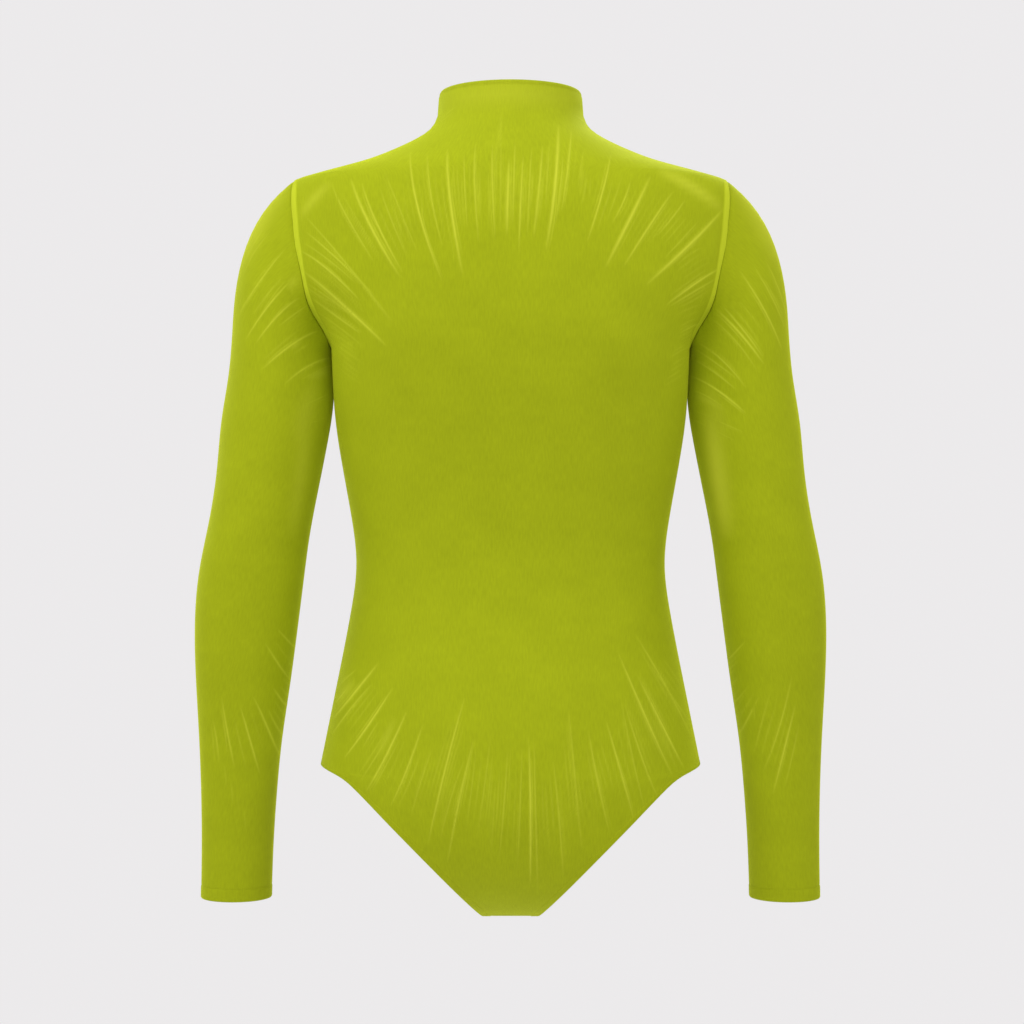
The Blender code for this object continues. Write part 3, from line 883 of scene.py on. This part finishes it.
class Shell:
    """A wall of cloth on a grid of parameters a (down the piece) and b (across or round it)."""

    def __init__(self, a, b, points_at, normals_at, relief_at, edge_at, uv_at, closed, thickness):
        self.points_at, self.normals_at, self.relief_at = points_at, normals_at, relief_at
        self.edge_at, self.uv_at, self.closed, self.thickness = edge_at, uv_at, closed, thickness
        self.mesh = bmesh.new()
        self.inner = self.mesh.verts.layers.int.new("inner")
        rows, across = a.shape
        made = bmesh.ops.create_grid(self.mesh, x_segments=across - 1, y_segments=rows - 1, size=1)["verts"]
        for vertex, place, turn in zip(made, a.ravel(), b.ravel()):
            vertex.co = (place, turn, 0)
        outer = self.mesh.verts[:] + self.mesh.edges[:] + self.mesh.faces[:]
        copy = bmesh.ops.duplicate(self.mesh, geom=outer)
        for item in copy["geom"]:
            if isinstance(item, bmesh.types.BMVert):
                item[self.inner] = 1
                item.co.z = 1

    def parameters(self):
        """The parameters of every vertex, and whether it is on the inner wall."""
        data = np.array([v.co[:] for v in self.mesh.verts])
        return data[:, 0], data[:, 1], data[:, 2] > 0.5

    def refine(self, lines, fine, faint):
        """Halves those of the outer wall's edges that reach across a stretch line and are still wider there
        than wanted, which is less for a strong line than for a faint one."""
        self.mesh.verts.index_update()
        a, b, inner = self.parameters()
        edges = [e for e in self.mesh.edges if not e.verts[0][self.inner]]
        ends = np.array([[v.index for v in e.verts] for e in edges])
        outer = np.flatnonzero(~inner)
        points = np.zeros((len(a), 3))
        points[outer] = self.points_at(a[outer], b[outer])
        nearest, way, strength = nearest_line(points, lines)
        inside = np.zeros(len(a), bool)
        inside[outer] = self.edge_at(a[outer], b[outer]) > EDGE_STEPS[-2]
        span = (points[ends[:, 1]] - points[ends[:, 0]])[:, [0, 2]]
        end = ends[np.arange(len(ends)), nearest[ends].argmin(1)]
        across = np.abs(span[:, 0] * way[end][:, 1] - span[:, 1] * way[end][:, 0])
        wide = across > np.where(strength[end] > STRONG_LINE, fine, faint)
        split = wide & (nearest[end] < 0.55 * across + LINE_CORE) & inside[ends].all(1)
        chosen = [edges[i] for i in np.flatnonzero(split)]
        bmesh.ops.subdivide_edges(self.mesh, edges=chosen, cuts=1, use_grid_fill=True)

    def finish(self, name, material):
        """Lays the shell out in space, closes its rims and makes it an object."""
        mesh = self.mesh
        mesh.verts.index_update()
        a, b, inner = self.parameters()
        points, normal = self.points_at(a, b), self.normals_at(a, b)
        lift, settle, marks = self.relief_at(points, a, b)
        rounding = RIM_ROUNDING * self.thickness * near(self.edge_at(a, b), RIM_WIDTH)
        height = np.where(inner, -self.thickness + rounding, lift - rounding)
        placed = points + normal * height[:, None] + settle
        layers = {mark: mesh.verts.layers.float.new(mark) for mark in marks}
        uv_layer = mesh.loops.layers.uv.new("cloth")
        uv = self.uv_at(a, b)
        for face in mesh.faces:
            for loop in face.loops:
                loop[uv_layer].uv = uv[loop.vert.index]
        for vertex, place, *values in zip(mesh.verts, placed, *marks.values()):
            vertex.co = place
            for layer, value in zip(layers.values(), values):
                vertex[layer] = value
        if self.closed:
            for wall in (False, True):
                verts = [v for v in mesh.verts if bool(v[self.inner]) == wall and v.is_boundary]
                bmesh.ops.remove_doubles(mesh, verts=verts, dist=1e-6)
        flipped = [f for f in mesh.faces if f.verts[0][self.inner]]
        bmesh.ops.reverse_faces(mesh, faces=flipped)
        rims = [e for e in mesh.edges if e.is_boundary]
        groups = [rims]
        if self.closed:
            level = (min(v.co.z for v in mesh.verts) + max(v.co.z for v in mesh.verts)) / 2
            groups = [[e for e in rims if (e.verts[0].co.z > level) == top] for top in (True, False)]
        for group in groups:
            bmesh.ops.bridge_loops(mesh, edges=group)
        bmesh.ops.recalc_face_normals(mesh, faces=mesh.faces)
        data = bpy.data.meshes.new(name)
        mesh.to_mesh(data)
        mesh.free()
        data.materials.append(material)
        data.shade_smooth()
        made = bpy.data.objects.new(name, data)
        bpy.context.scene.collection.objects.link(made)
        return made


def panel_grid(face, step):
    """The grid of a body panel: rows even along its edge, and columns crowded towards its edges."""
    dense = np.linspace(0, 1, 400)
    rows = []
    for zone in range(4):
        path = body_points(face, np.minimum(zone + dense, zone + 1 - 1e-9), 1)
        ends = (EDGE_STEPS if zone == 0 else (), EDGE_STEPS[:5] if zone == 3 else ())
        rows.append(zone + even_steps(path, step * ROW_STEPS[zone], *ends)[0 if zone == 0 else 1 :])
    rows = np.concatenate(rows)
    rows[-1] = 4 - 1e-9
    half = half_width(face, rows)
    count = int(round(2 * (half.max() - EDGE_STEPS[-1]) / step))
    edge = 1 - np.array(EDGE_STEPS[:-1])[None, :] / half[:, None]
    across = np.concatenate([-edge, middle_columns(face, rows, half, count), edge[:, ::-1]], 1)
    return np.repeat(rows[:, None], across.shape[1], 1), across


def middle_columns(face, rows, half, count):
    """The columns between a panel's edges. They run straight down past armholes and legs, and only those
    near the edge follow it."""
    _, out, reach, _ = body_section(face, rows)
    edge_turn = np.arcsin(out / reach)
    last = reach * np.sin(edge_turn * (1 - EDGE_STEPS[-1] / half))
    at_tip, at_hip = (np.interp(place, rows, last) for place in (1, 3))
    settled = smooth(2.0, 2.7, rows)
    zones = [rows < 1, rows < 2, rows < 3]
    wide = np.maximum(np.select(zones, [last, at_tip, at_tip * (1 - settled) + last * settled], at_hip), last)
    power = np.clip(0.75 / np.maximum(1 - last / wide, 1e-6), 1, 6)[:, None]
    spread = np.sin(1.5 * np.linspace(-1, 1, count + 1)) / math.sin(1.5)
    size = np.abs(spread)[None, :]
    places = np.sign(spread) * (wide[:, None] * size - (wide - last)[:, None] * size**power)
    return np.arcsin(places / reach[:, None]) / edge_turn[:, None]


HALF_WIDTHS = {}


def half_width(face, place):
    """How far it is round a panel's section from the middle to the edge."""
    if face not in HALF_WIDTHS:
        places = np.linspace(0, 4 - 1e-9, 600)
        around = np.linspace(0, 1, 40)
        path = body_points(face, places[:, None], around[None, :])
        HALF_WIDTHS[face] = (places, np.linalg.norm(np.diff(path, axis=1), axis=2).sum(1))
    return np.interp(place, *HALF_WIDTHS[face])


CENTRE_LENGTHS = {}


def centre_length(face, place):
    """How far it is down a panel's middle from the neck edge."""
    if face not in CENTRE_LENGTHS:
        places = np.linspace(0, 4 - 1e-9, 1200)
        path = body_points(face, places, 0)
        steps = np.linalg.norm(np.diff(path, axis=0), axis=1)
        CENTRE_LENGTHS[face] = (places, np.concatenate([[0], np.cumsum(steps)]))
    return np.interp(place, *CENTRE_LENGTHS[face])


def side_distance(face, place, across):
    """Distance to the nearer side edge of a panel."""
    return (1 - np.abs(across)) * half_width(face, place)


def panel_edge(face, place, across):
    """Distance to the nearest edge of a panel."""
    down = centre_length(face, place)
    return np.minimum(side_distance(face, place, across), np.minimum(down, centre_length(face, 4) - down))


def bump(distance, start, end, soft):
    """A raised band from start to end of a distance, with soft shoulders."""
    half = soft / 2
    return smooth(start - half, start + half, distance) * (1 - smooth(end - half, end + half, distance))


def seam_outwards(face, place, across):
    """Along the armhole, the way on from the panel's edge, over the sleeve."""
    turn = (np.clip(place, 1, 2) - 1) / 2
    outward = armhole_outward(turn if face == "back" else 1 - turn)
    return np.where(across[:, None] < 0, outward * np.array([-1, 1, 1]), outward)


# Relief of the panels and the sleeves.
GROOVE_WIDTH = 0.9 * MM
SIDE_SEAM_SINK = 0.35 * MM
LEG_HEM_DEPTH = 7.6 * MM
LEG_HEM_RISE = 0.3 * MM
NECK_ROLL_DEPTH = 3.8 * MM
NECK_ROLL_RISE = 0.5 * MM
UNDER_ROLL_SINK = 0.15 * MM
SEAM_WIDENING = 3 * MM  # how much wider the armhole's seam is from halfway down
SEAM_TIGHTENING = 0.35  # how much of what the seam laps less over the sleeve it reaches further onto the body
LAP_FADE = 2.4  # how far behind the panel's edge the cloth is still drawn over the sleeve, in seam laps
DRAWN_DEPTH = 9 * MM  # how far from the armhole the cloth is drawn sideways with it
LIP_DEPTH = 7 * MM  # and how far it stands out with the lip
FRONT_LIP = 0.45  # the front's lip against the back's
SLEEVE_EDGE_SINK = 0.6 * MM
UNDERARM_SEAM_SINK = 0.3 * MM
CUFF_RISE = 0.3 * MM
CUFF_STITCH_SINK = 0.3 * MM
RESTING_SHIFT = 0.2 * MM  # how far the sleeve leans in where it rests against the body, above this height
RESTING_HEIGHTS = (-233 * MM, -222 * MM)

# Where the armhole's seam changes, in shares of the way down the armhole: each change starts at the first
# and is whole at the second.
SEAM_RISES = (0.02, 0.2)
SEAM_WIDENS = (0.4, 0.6)
SEAM_FLATTENS = (0.45, 0.65)
SEAM_ENDS = (0.84, 0.97)


def armhole_pull(down_armhole, distance):
    """How far the cloth beside the armhole is drawn sideways, and how far it stands out like a lip."""
    drawn = MM * armhole_seam["drawn"](down_armhole) * near(distance, DRAWN_DEPTH)
    return drawn, MM * armhole_seam["lip"](down_armhole) * near(distance, LIP_DEPTH)


def panel_relief(face, lines, settings):
    """The relief of a body panel: stretch lines, the armhole's lapped seam, sunk seams, hems and the neck's
    roll."""

    def relief(points, place, across):
        field, painted_light_field = line_field(points, lines, settings.ridge_width)
        edge = side_distance(face, place, across)
        down = centre_length(face, place)
        on_armhole_row = (place > 1) & (place < 2)
        ending = smooth(-0.5 * MM, 2 * MM, edge - settings.seam_width)
        field = field * np.where(on_armhole_row, ending, smooth(0, 4 * MM, edge))
        down_armhole = np.clip(place - 1, 0, 1)
        reach = settings.seam_lap * np.where(on_armhole_row, armhole_seam["lap"](down_armhole), 0)
        width = settings.seam_width + SEAM_TIGHTENING * (settings.seam_lap - reach)
        width += SEAM_WIDENING * smooth(*SEAM_WIDENS, down_armhole)
        ends = smooth(*SEAM_RISES, down_armhole) * (1 - smooth(*SEAM_ENDS, down_armhole))
        # The armhole seam's band: raised here, and given a painted highlight in the material.
        seam = bump(edge, -MM, width, 1.8 * MM) * ends
        lap = reach * np.clip(1 - edge / (LAP_FADE * settings.seam_lap), 0, 1)
        sunk = near(edge, GROOVE_WIDTH) * (1 - smooth(2.97, 3.03, place)) * (1 - seam)
        sunk *= 1 - near(place - 1, 0.1)
        leg_hem = smooth(3.0, 3.05, place) * bump(edge, -MM, LEG_HEM_DEPTH, 1.2 * MM)
        roll = bump(down, -2 * MM, NECK_ROLL_DEPTH, 2 * MM)
        under_roll = near(down - NECK_ROLL_DEPTH - MM, 1.2 * MM)
        lift = settings.ridge_lift * field - SIDE_SEAM_SINK * sunk + LEG_HEM_RISE * leg_hem
        lift += NECK_ROLL_RISE * roll - UNDER_ROLL_SINK * under_roll
        rising = settings.seam_lift * seam * (1 - smooth(*SEAM_FLATTENS, down_armhole))
        settle = body_normals(face, place, across) * rising[:, None]
        settle += seam_outwards(face, place, across) * lap[:, None]
        drawn, lip = armhole_pull(down_armhole, edge)
        down_seam = (place > 1) * (1 - smooth(2, 2.04, place))
        lip *= down_seam * (1 if face == "back" else FRONT_LIP)
        settle[:, 0] += np.sign(across) * (drawn * down_seam + lip)
        settle[:, 1] += lip if face == "back" else -lip
        # Painted shade in the sunk seams, under the neck's roll and on the roll, which curves away from the
        # light.
        groove = sunk + 0.2 * under_roll + 0.35 * roll
        return lift, settle, {"stretch": field, "patch": painted_light_field, "seam": seam, "groove": groove}

    return relief


def make_panel(name, face, lines, settings, material):
    """A body panel's shell."""
    a, b = panel_grid(face, settings.mesh_step)
    shell = Shell(
        a, b,
        points_at=lambda p, x: body_points(face, p, x),
        normals_at=lambda p, x: body_normals(face, p, x),
        relief_at=panel_relief(face, lines, settings),
        edge_at=lambda p, x: panel_edge(face, p, x),
        uv_at=lambda p, x: np.stack([x * half_width(face, p), -centre_length(face, p)], -1),
        closed=False,
        thickness=settings.thickness,
    )
    for _ in range(REFINEMENTS):
        shell.refine(lines, settings.line_step, 2 * settings.line_step)
    return shell.finish(name, material)


def sleeve_lengths():
    """Lengths down the sleeve and round it, against the down parameter."""
    places = np.linspace(0, len(SLEEVE_RINGS), 500)
    path = sleeve_points(0.25 + 0 * places, places)
    passed = np.concatenate([[0], np.cumsum(np.linalg.norm(np.diff(path, axis=0), axis=1))])
    turns = np.linspace(0, 1, 80)
    around = sleeve_points(turns[None, :], places[:, None])
    return places, passed, np.linalg.norm(np.diff(around, axis=1), axis=2).sum(1)


def sleeve_grid(settings, places, around):
    """The grid of a sleeve: rows down it and columns round it, crowded at its ends and its underarm seam."""
    stitched = tuple(settings.hem_depth + d * MM for d in (-5, -2.5, -1.2, -0.6, 0, 0.6, 1.2, 2.5))
    path = sleeve_points(0.25 + 0 * places, places)
    rows = even_steps(path, settings.mesh_step, EDGE_STEPS[:7], EDGE_STEPS[:6] + stitched)
    rows = len(SLEEVE_RINGS) * rows
    seam = np.array([-3, -1.9, -1.1, -0.5, 0, 0.5, 1.1, 1.9, 3]) * MM / around.mean()
    half = np.linspace(0, 0.5 + seam[0], int(round(around.max() / settings.mesh_step / 2)))[:-1]
    turns = np.concatenate([half, 0.5 + seam, (1 - half)[::-1]])
    return np.repeat(rows[:, None], len(turns), 1), np.repeat(turns[None, :], len(rows), 0)


def make_sleeve(name, sign, settings, material):
    """A sleeve's shell."""
    places, passed, around = sleeve_lengths()
    lines = SLEEVE_LINES[sign]

    def flip(points):
        return points * np.array([sign, 1, 1])

    def lengths(down):
        """How far a place is from the armhole and from the cuff's edge, and how far it is round there."""
        length = np.interp(down, places, passed)
        return length, passed[-1] - length, np.interp(down, places, around)

    def relief(points, down, turn):
        field, painted_light_field = line_field(points, lines, settings.ridge_width)
        length, below, round_here = lengths(down)
        beside = np.abs(turn - 0.5) * round_here
        back = np.sin(2 * np.pi * turn)
        field = field * np.where(back > 0, 1, 0.75) * smooth(3 * MM, 9 * MM, length)
        down_armhole = 1 - np.abs(1 - 2 * turn)
        reach = settings.seam_lap * armhole_seam["lap"](down_armhole)
        lapped = np.clip(2 * reach / MM, 0, 1)
        under = (1 - smooth(reach, reach + 1.6 * MM, length)) * lapped
        sunk = near(length, 1.5 * MM) * (1 - lapped) * smooth(0, SEAM_RISES[1], down_armhole)
        beneath = near(length - reach - 0.5 * MM, GROOVE_WIDTH) * lapped
        underarm = near(beside, GROOVE_WIDTH)
        hem_band = bump(below, -MM, settings.hem_depth, 1.6 * MM)
        stitched = near(below - settings.hem_depth, 0.8 * MM)
        lift = settings.ridge_lift * field - SLEEVE_EDGE_SINK * sunk - UNDERARM_SEAM_SINK * underarm
        lift += CUFF_RISE * hem_band - CUFF_STITCH_SINK * stitched
        resting = smooth(*RESTING_HEIGHTS, points[:, 2]) * near(beside, 10 * MM)
        settle = flip(sleeve_normals(turn, down)) * (-settings.seam_drop * under)[:, None]
        drawn, lip = armhole_pull(down_armhole, length)
        lip *= np.where(back > 0, 1, -FRONT_LIP)
        drawn -= RESTING_SHIFT * resting * smooth(2 * MM, 8 * MM, length)
        settle[:, 0] += sign * (drawn + np.abs(lip))
        settle[:, 1] += lip
        # Painted shade in the sunk sleeve edge, beneath the lapped seam, along the underarm seam and at the
        # cuff's stitching.
        groove = sunk + 0.3 * beneath + 0.6 * underarm + 0.3 * stitched
        return lift, settle, {"stretch": field, "patch": painted_light_field, "seam": 0 * field, "groove": groove}

    def uv(down, turn):
        length, _, round_here = lengths(down)
        return np.stack([(turn - 0.5) * round_here, -length], -1)

    a, b = sleeve_grid(settings, places, around)
    shell = Shell(
        a, b,
        points_at=lambda d, t: flip(sleeve_points(t, d)),
        normals_at=lambda d, t: flip(sleeve_normals(t, d)),
        relief_at=relief,
        edge_at=lambda d, t: np.minimum(*lengths(d)[:2]),
        uv_at=uv,
        closed=True,
        thickness=settings.thickness,
    )
    for _ in range(REFINEMENTS):
        shell.refine(lines, settings.line_step, 2 * settings.line_step)
    return shell.finish(name, material)


# ---------------------------------------------------------------------------------------------------------
# Materials


# Colours of the cloth against its own: the darker and lighter of its clouds, and the painted shade of its
# grooves and neck roll.
DARKER, LIGHTER, PAINTED_SHADE_SHARE = 0.77, 1.23, 0.55
# Painted highlight on the raised armhole seam's band.
SEAM_HIGHLIGHT = (0.64, 0.72, 0.03)
CLOTH_FINISH = {
    "Sheen Weight": 0.9,
    "Sheen Roughness": 0.35,
    "Sheen Tint": (0.9, 1.0, 0.04, 1),
    "Specular IOR Level": 0.08,
    "Specular Tint": (0.95, 1.0, 0.3, 1),
}


def add_node(tree, kind, values, **settings):
    """A node with its inputs set to numbers and colours, or linked where the value is a socket."""
    node = tree.nodes.new("ShaderNode" + kind)
    for name, value in settings.items():
        setattr(node, name, value)
    return set_inputs(tree, node, values)


def set_inputs(tree, node, values):
    """Sets or links a node's inputs."""
    for place, value in values.items():
        if isinstance(value, bpy.types.NodeSocket):
            tree.links.new(value, node.inputs[place])
        else:
            node.inputs[place].default_value = value
    return node


def maths(tree, operation, *values, clamp=False):
    """A Math node's result, from sockets or numbers."""
    node = add_node(tree, "Math", dict(enumerate(values)), operation=operation, use_clamp=clamp)
    return node.outputs[0]


def noise(tree, vector, scale, detail):
    """A Noise node's value."""
    return add_node(tree, "TexNoise", {"Vector": vector, "Scale": scale, "Detail": detail}).outputs["Fac"]


def mix_colour(tree, factor, first, second):
    """A Mix node's colour, from sockets or tuples of three."""
    first, second = ((*value, 1) if isinstance(value, tuple) else value for value in (first, second))
    return add_node(tree, "Mix", {0: factor, 6: first, 7: second}, data_type="RGBA").outputs[2]


def attribute_value(tree, name):
    """The value of a point attribute."""
    return add_node(tree, "Attribute", {}, attribute_name=name).outputs["Fac"]


def knit_group():
    """A fine knit: ribs of little loops, uneven as a real knit is. Gives a height and a mottling value."""
    group = bpy.data.node_groups.new("FineKnit", "ShaderNodeTree")
    sockets = group.interface
    sockets.new_socket(name="Vector", in_out="INPUT", socket_type="NodeSocketVector")
    pitch = sockets.new_socket(name="Pitch", in_out="INPUT", socket_type="NodeSocketFloat")
    pitch.default_value = 0.9 * MM
    for name in ("Height", "Mottle"):
        sockets.new_socket(name=name, in_out="OUTPUT", socket_type="NodeSocketFloat")
    given, result = group.nodes.new("NodeGroupInput"), group.nodes.new("NodeGroupOutput")
    vectors = {0: given.outputs["Vector"], 1: given.outputs["Pitch"]}
    scaled = add_node(group, "VectorMath", vectors, operation="DIVIDE").outputs[0]
    split = add_node(group, "SeparateXYZ", {0: scaled})
    drift = maths(group, "MULTIPLY", noise(group, scaled, 0.35, 3), 2.2)
    across = maths(group, "ADD", split.outputs["X"], drift)
    down = maths(group, "ADD", split.outputs["Y"], drift)
    rib = maths(group, "ABSOLUTE", maths(group, "SINE", maths(group, "MULTIPLY", across, math.pi)))
    slanted = maths(group, "ADD", down, maths(group, "MULTIPLY", rib, 0.5))
    loop = maths(group, "SINE", maths(group, "MULTIPLY", slanted, 2 * math.pi))
    height = maths(group, "ADD", rib, maths(group, "MULTIPLY", loop, 0.35))
    grained = maths(group, "ADD", height, noise(group, scaled, 0.9, 4))
    drawn = add_node(group, "VectorMath", {0: scaled, 1: (1, 0.14, 1)}, operation="MULTIPLY").outputs[0]
    streaks = maths(group, "MULTIPLY", noise(group, drawn, 0.8, 2), 0.65)  # uneven yarn, down the piece
    clouds = maths(group, "MULTIPLY", noise(group, scaled, 0.028, 3), 0.35)
    set_inputs(group, result, {"Height": grained, "Mottle": maths(group, "ADD", clouds, streaks)})
    return group


def cloth_material(name, settings, knit):
    """The knit's finish: a fine ribbed surface, paler along stretch lines with a painted highlight, paler in
    areas of painted light, with a painted highlight on the armhole's seam and painted shade in the seams'
    grooves and on the neck's roll."""
    material = bpy.data.materials.new(name)
    material.use_nodes = True
    tree = material.node_tree
    uv = add_node(tree, "UVMap", {}, uv_map="cloth").outputs[0]
    surface = add_node(tree, "Group", {"Vector": uv, "Pitch": settings.knit_pitch}, node_tree=knit)
    shares = (DARKER, LIGHTER, PAINTED_SHADE_SHARE)
    darker, lighter, painted_shade_colour = (tuple(c * share for c in settings.colour) for share in shares)
    # Paler along stretch lines, the stretched knit's paler yarn with a painted highlight, and over the areas
    # of painted light.
    stretch = attribute_value(tree, "stretch")
    pale = maths(tree, "MAXIMUM", maths(tree, "MULTIPLY", stretch, 0.8), attribute_value(tree, "patch"))
    # Painted highlight along the raised armhole seam.
    seam = maths(tree, "MULTIPLY", attribute_value(tree, "seam"), 0.8, clamp=True)
    # Painted shade in the seams' grooves and on the neck's roll.
    groove = maths(tree, "MULTIPLY", attribute_value(tree, "groove"), 0.45, clamp=True)
    colour = mix_colour(tree, surface.outputs["Mottle"], darker, lighter)
    colour = mix_colour(tree, pale, colour, tuple(settings.pale_highlight_colour))
    colour = mix_colour(tree, seam, colour, SEAM_HIGHLIGHT)
    colour = mix_colour(tree, groove, colour, painted_shade_colour)
    rough = maths(tree, "SUBTRACT", 0.74, maths(tree, "MULTIPLY", stretch, 0.12))
    knitted = {"Strength": 0.35, "Distance": 0.12 * MM, "Height": surface.outputs["Height"]}
    bumped = add_node(tree, "Bump", knitted).outputs[0]
    shader = tree.nodes["Principled BSDF"]
    set_inputs(tree, shader, {"Base Color": colour, "Roughness": rough, "Normal": bumped})
    set_inputs(tree, shader, CLOTH_FINISH)
    return material


def plain_material(name, colour, roughness):
    """A plain matt finish."""
    material = bpy.data.materials.new(name)
    material.use_nodes = True
    shader = material.node_tree.nodes["Principled BSDF"]
    set_inputs(material.node_tree, shader, {"Base Color": (*colour, 1), "Roughness": roughness})
    return material


# ---------------------------------------------------------------------------------------------------------
# Operators


def declare(piece, node):
    """Fixes a piece to the body and hides the node whose place it takes."""
    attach(piece, "root")
    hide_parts(node)


def knit_finish(name):
    """The cloth's material, built once for each piece."""
    knit = bpy.data.node_groups.get("FineKnit") or knit_group()
    return cloth_material(name, bpy.context.scene.bodysuit_cloth, knit)


class BODYSUIT_OT_back(bpy.types.Operator):
    """Makes the back, from the neck edge to the crotch"""

    bl_idname = "bodysuit.back"
    bl_label = "Back"

    def execute(self, context):
        settings = context.scene.bodysuit_cloth
        piece = make_panel("back_cloth", "back", BACK_LINES, settings, knit_finish("back_knit"))
        declare(piece, "back_panel")
        return {"FINISHED"}


class BODYSUIT_OT_front(bpy.types.Operator):
    """Makes the front, from the neck edge to the crotch"""

    bl_idname = "bodysuit.front"
    bl_label = "Front"

    def execute(self, context):
        settings = context.scene.bodysuit_cloth
        piece = make_panel("front_cloth", "front", FRONT_LINES, settings, knit_finish("front_knit"))
        declare(piece, "front_panel")
        return {"FINISHED"}


class BODYSUIT_OT_sleeves(bpy.types.Operator):
    """Makes both sleeves"""

    bl_idname = "bodysuit.sleeves"
    bl_label = "Sleeves"

    def execute(self, context):
        settings = context.scene.bodysuit_cloth
        for hand, sign in (("left", 1), ("right", -1)):
            piece = make_sleeve("sleeve_cloth_" + hand, sign, settings, knit_finish("sleeve_knit_" + hand))
            declare(piece, "sleeve_" + hand)
        return {"FINISHED"}


LightRow = namedtuple("LightRow", "name place aim size watts")
LIGHTS = table(
    LightRow,
    ("key", (1.3, 1.5, 1.2), (0, 0, -0.25), 1.5, 11.7),
    ("fill", (-1.1, 1.6, 0.9), (0, 0, -0.3), 1.6, 4.4),
    ("square_on", (0, 1.8, 0.25), (0, 0, -0.15), 1.8, 10.6),
    ("top", (0, 0.1, 1.5), (0, 0, 0), 1.6, 8.3),
    ("left", (1.6, 0.4, 0.9), (0, 0, -0.1), 1.4, 11.5),
    ("right", (-1.6, 0.4, 0.9), (0, 0, -0.1), 1.4, 8.6),
    ("front_key", (-0.7, -1.9, 1.3), (0, 0, -0.25), 1.5, 24),
    ("front_fill", (1.4, -1.5, 0.1), (0, 0, -0.35), 1.6, 11),
)
SKY_STRENGTH = 0.284  # the even light from all round
FLOOR_COLOUR = (0.9, 0.89, 0.895)


class BODYSUIT_OT_studio(bpy.types.Operator):
    """Makes the floor, the lights, the backdrop and the camera"""

    bl_idname = "bodysuit.studio"
    bl_label = "Studio"

    def execute(self, context):
        settings = context.scene.bodysuit_studio
        scene = context.scene
        scene.view_settings.view_transform = "Standard"
        self.make_floor(settings)
        self.make_world(scene, settings)
        for row in LIGHTS:
            self.make_light(scene, row)
        camera = bpy.data.objects.new("camera", bpy.data.cameras.new("camera"))
        camera.location = (settings.camera_side, settings.camera_distance, settings.camera_height)
        camera.rotation_euler = (math.pi / 2, 0, math.pi)
        camera.data.sensor_width = 36
        camera.data.lens = camera.data.sensor_width * settings.camera_distance / settings.view_width
        scene.collection.objects.link(camera)
        scene.camera = camera
        return {"FINISHED"}

    def make_floor(self, settings):
        mesh = bmesh.new()
        bmesh.ops.create_circle(mesh, cap_ends=True, segments=96, radius=settings.floor_radius)
        bmesh.ops.translate(mesh, verts=mesh.verts, vec=(0, 0, -settings.floor_drop))
        data = bpy.data.meshes.new("floor")
        mesh.to_mesh(data)
        mesh.free()
        data.materials.append(plain_material("floor_paint", FLOOR_COLOUR, 0.9))
        floor = bpy.data.objects.new("floor", data)
        bpy.context.scene.collection.objects.link(floor)

    def make_world(self, scene, settings):
        world = bpy.data.worlds.new("studio")
        world.use_nodes = True
        tree = world.node_tree
        seen = set_inputs(tree, tree.nodes["Background"], {"Color": (*settings.backdrop, 1)})
        lit = add_node(tree, "Background", {"Color": (1, 1, 1, 1), "Strength": SKY_STRENGTH})
        path = add_node(tree, "LightPath", {})
        shares = {0: path.outputs["Is Camera Ray"], 1: lit.outputs[0], 2: seen.outputs[0]}
        mix = add_node(tree, "MixShader", shares)
        set_inputs(tree, tree.nodes["World Output"], {"Surface": mix.outputs[0]})
        scene.world = world

    def make_light(self, scene, row):
        data = bpy.data.lights.new(row.name, "AREA")
        data.size = row.size
        data.energy = row.watts
        light = bpy.data.objects.new(row.name, data)
        light.location = row.place
        light.rotation_euler = (Vector(row.aim) - Vector(row.place)).to_track_quat("-Z", "Y").to_euler()
        scene.collection.objects.link(light)


class BODYSUIT_PT_panel(bpy.types.Panel):
    """The bodysuit's settings and steps"""

    bl_idname = "BODYSUIT_PT_panel"
    bl_label = "Bodysuit"
    bl_space_type = "VIEW_3D"
    bl_region_type = "UI"
    bl_category = "Bodysuit"

    def draw(self, context):
        for group in (context.scene.bodysuit_cloth, context.scene.bodysuit_studio):
            for name in group.__annotations__:
                self.layout.prop(group, name)
        for step in STEPS:
            self.layout.operator(step.bl_idname)


STEPS = (BODYSUIT_OT_studio, BODYSUIT_OT_back, BODYSUIT_OT_front, BODYSUIT_OT_sleeves)
CLASSES = (ClothSettings, StudioSettings) + STEPS + (BODYSUIT_PT_panel,)


def register():
    for item in CLASSES:
        bpy.utils.register_class(item)
    bpy.types.Scene.bodysuit_cloth = bpy.props.PointerProperty(type=ClothSettings)
    bpy.types.Scene.bodysuit_studio = bpy.props.PointerProperty(type=StudioSettings)


def unregister():
    del bpy.types.Scene.bodysuit_studio
    del bpy.types.Scene.bodysuit_cloth
    for item in reversed(CLASSES):
        bpy.utils.unregister_class(item)


def main():
    register()
    bpy.ops.bodysuit.studio()
    bpy.ops.bodysuit.back()
    bpy.ops.bodysuit.front()
    bpy.ops.bodysuit.sleeves()


if __name__ == "__main__":
    main()
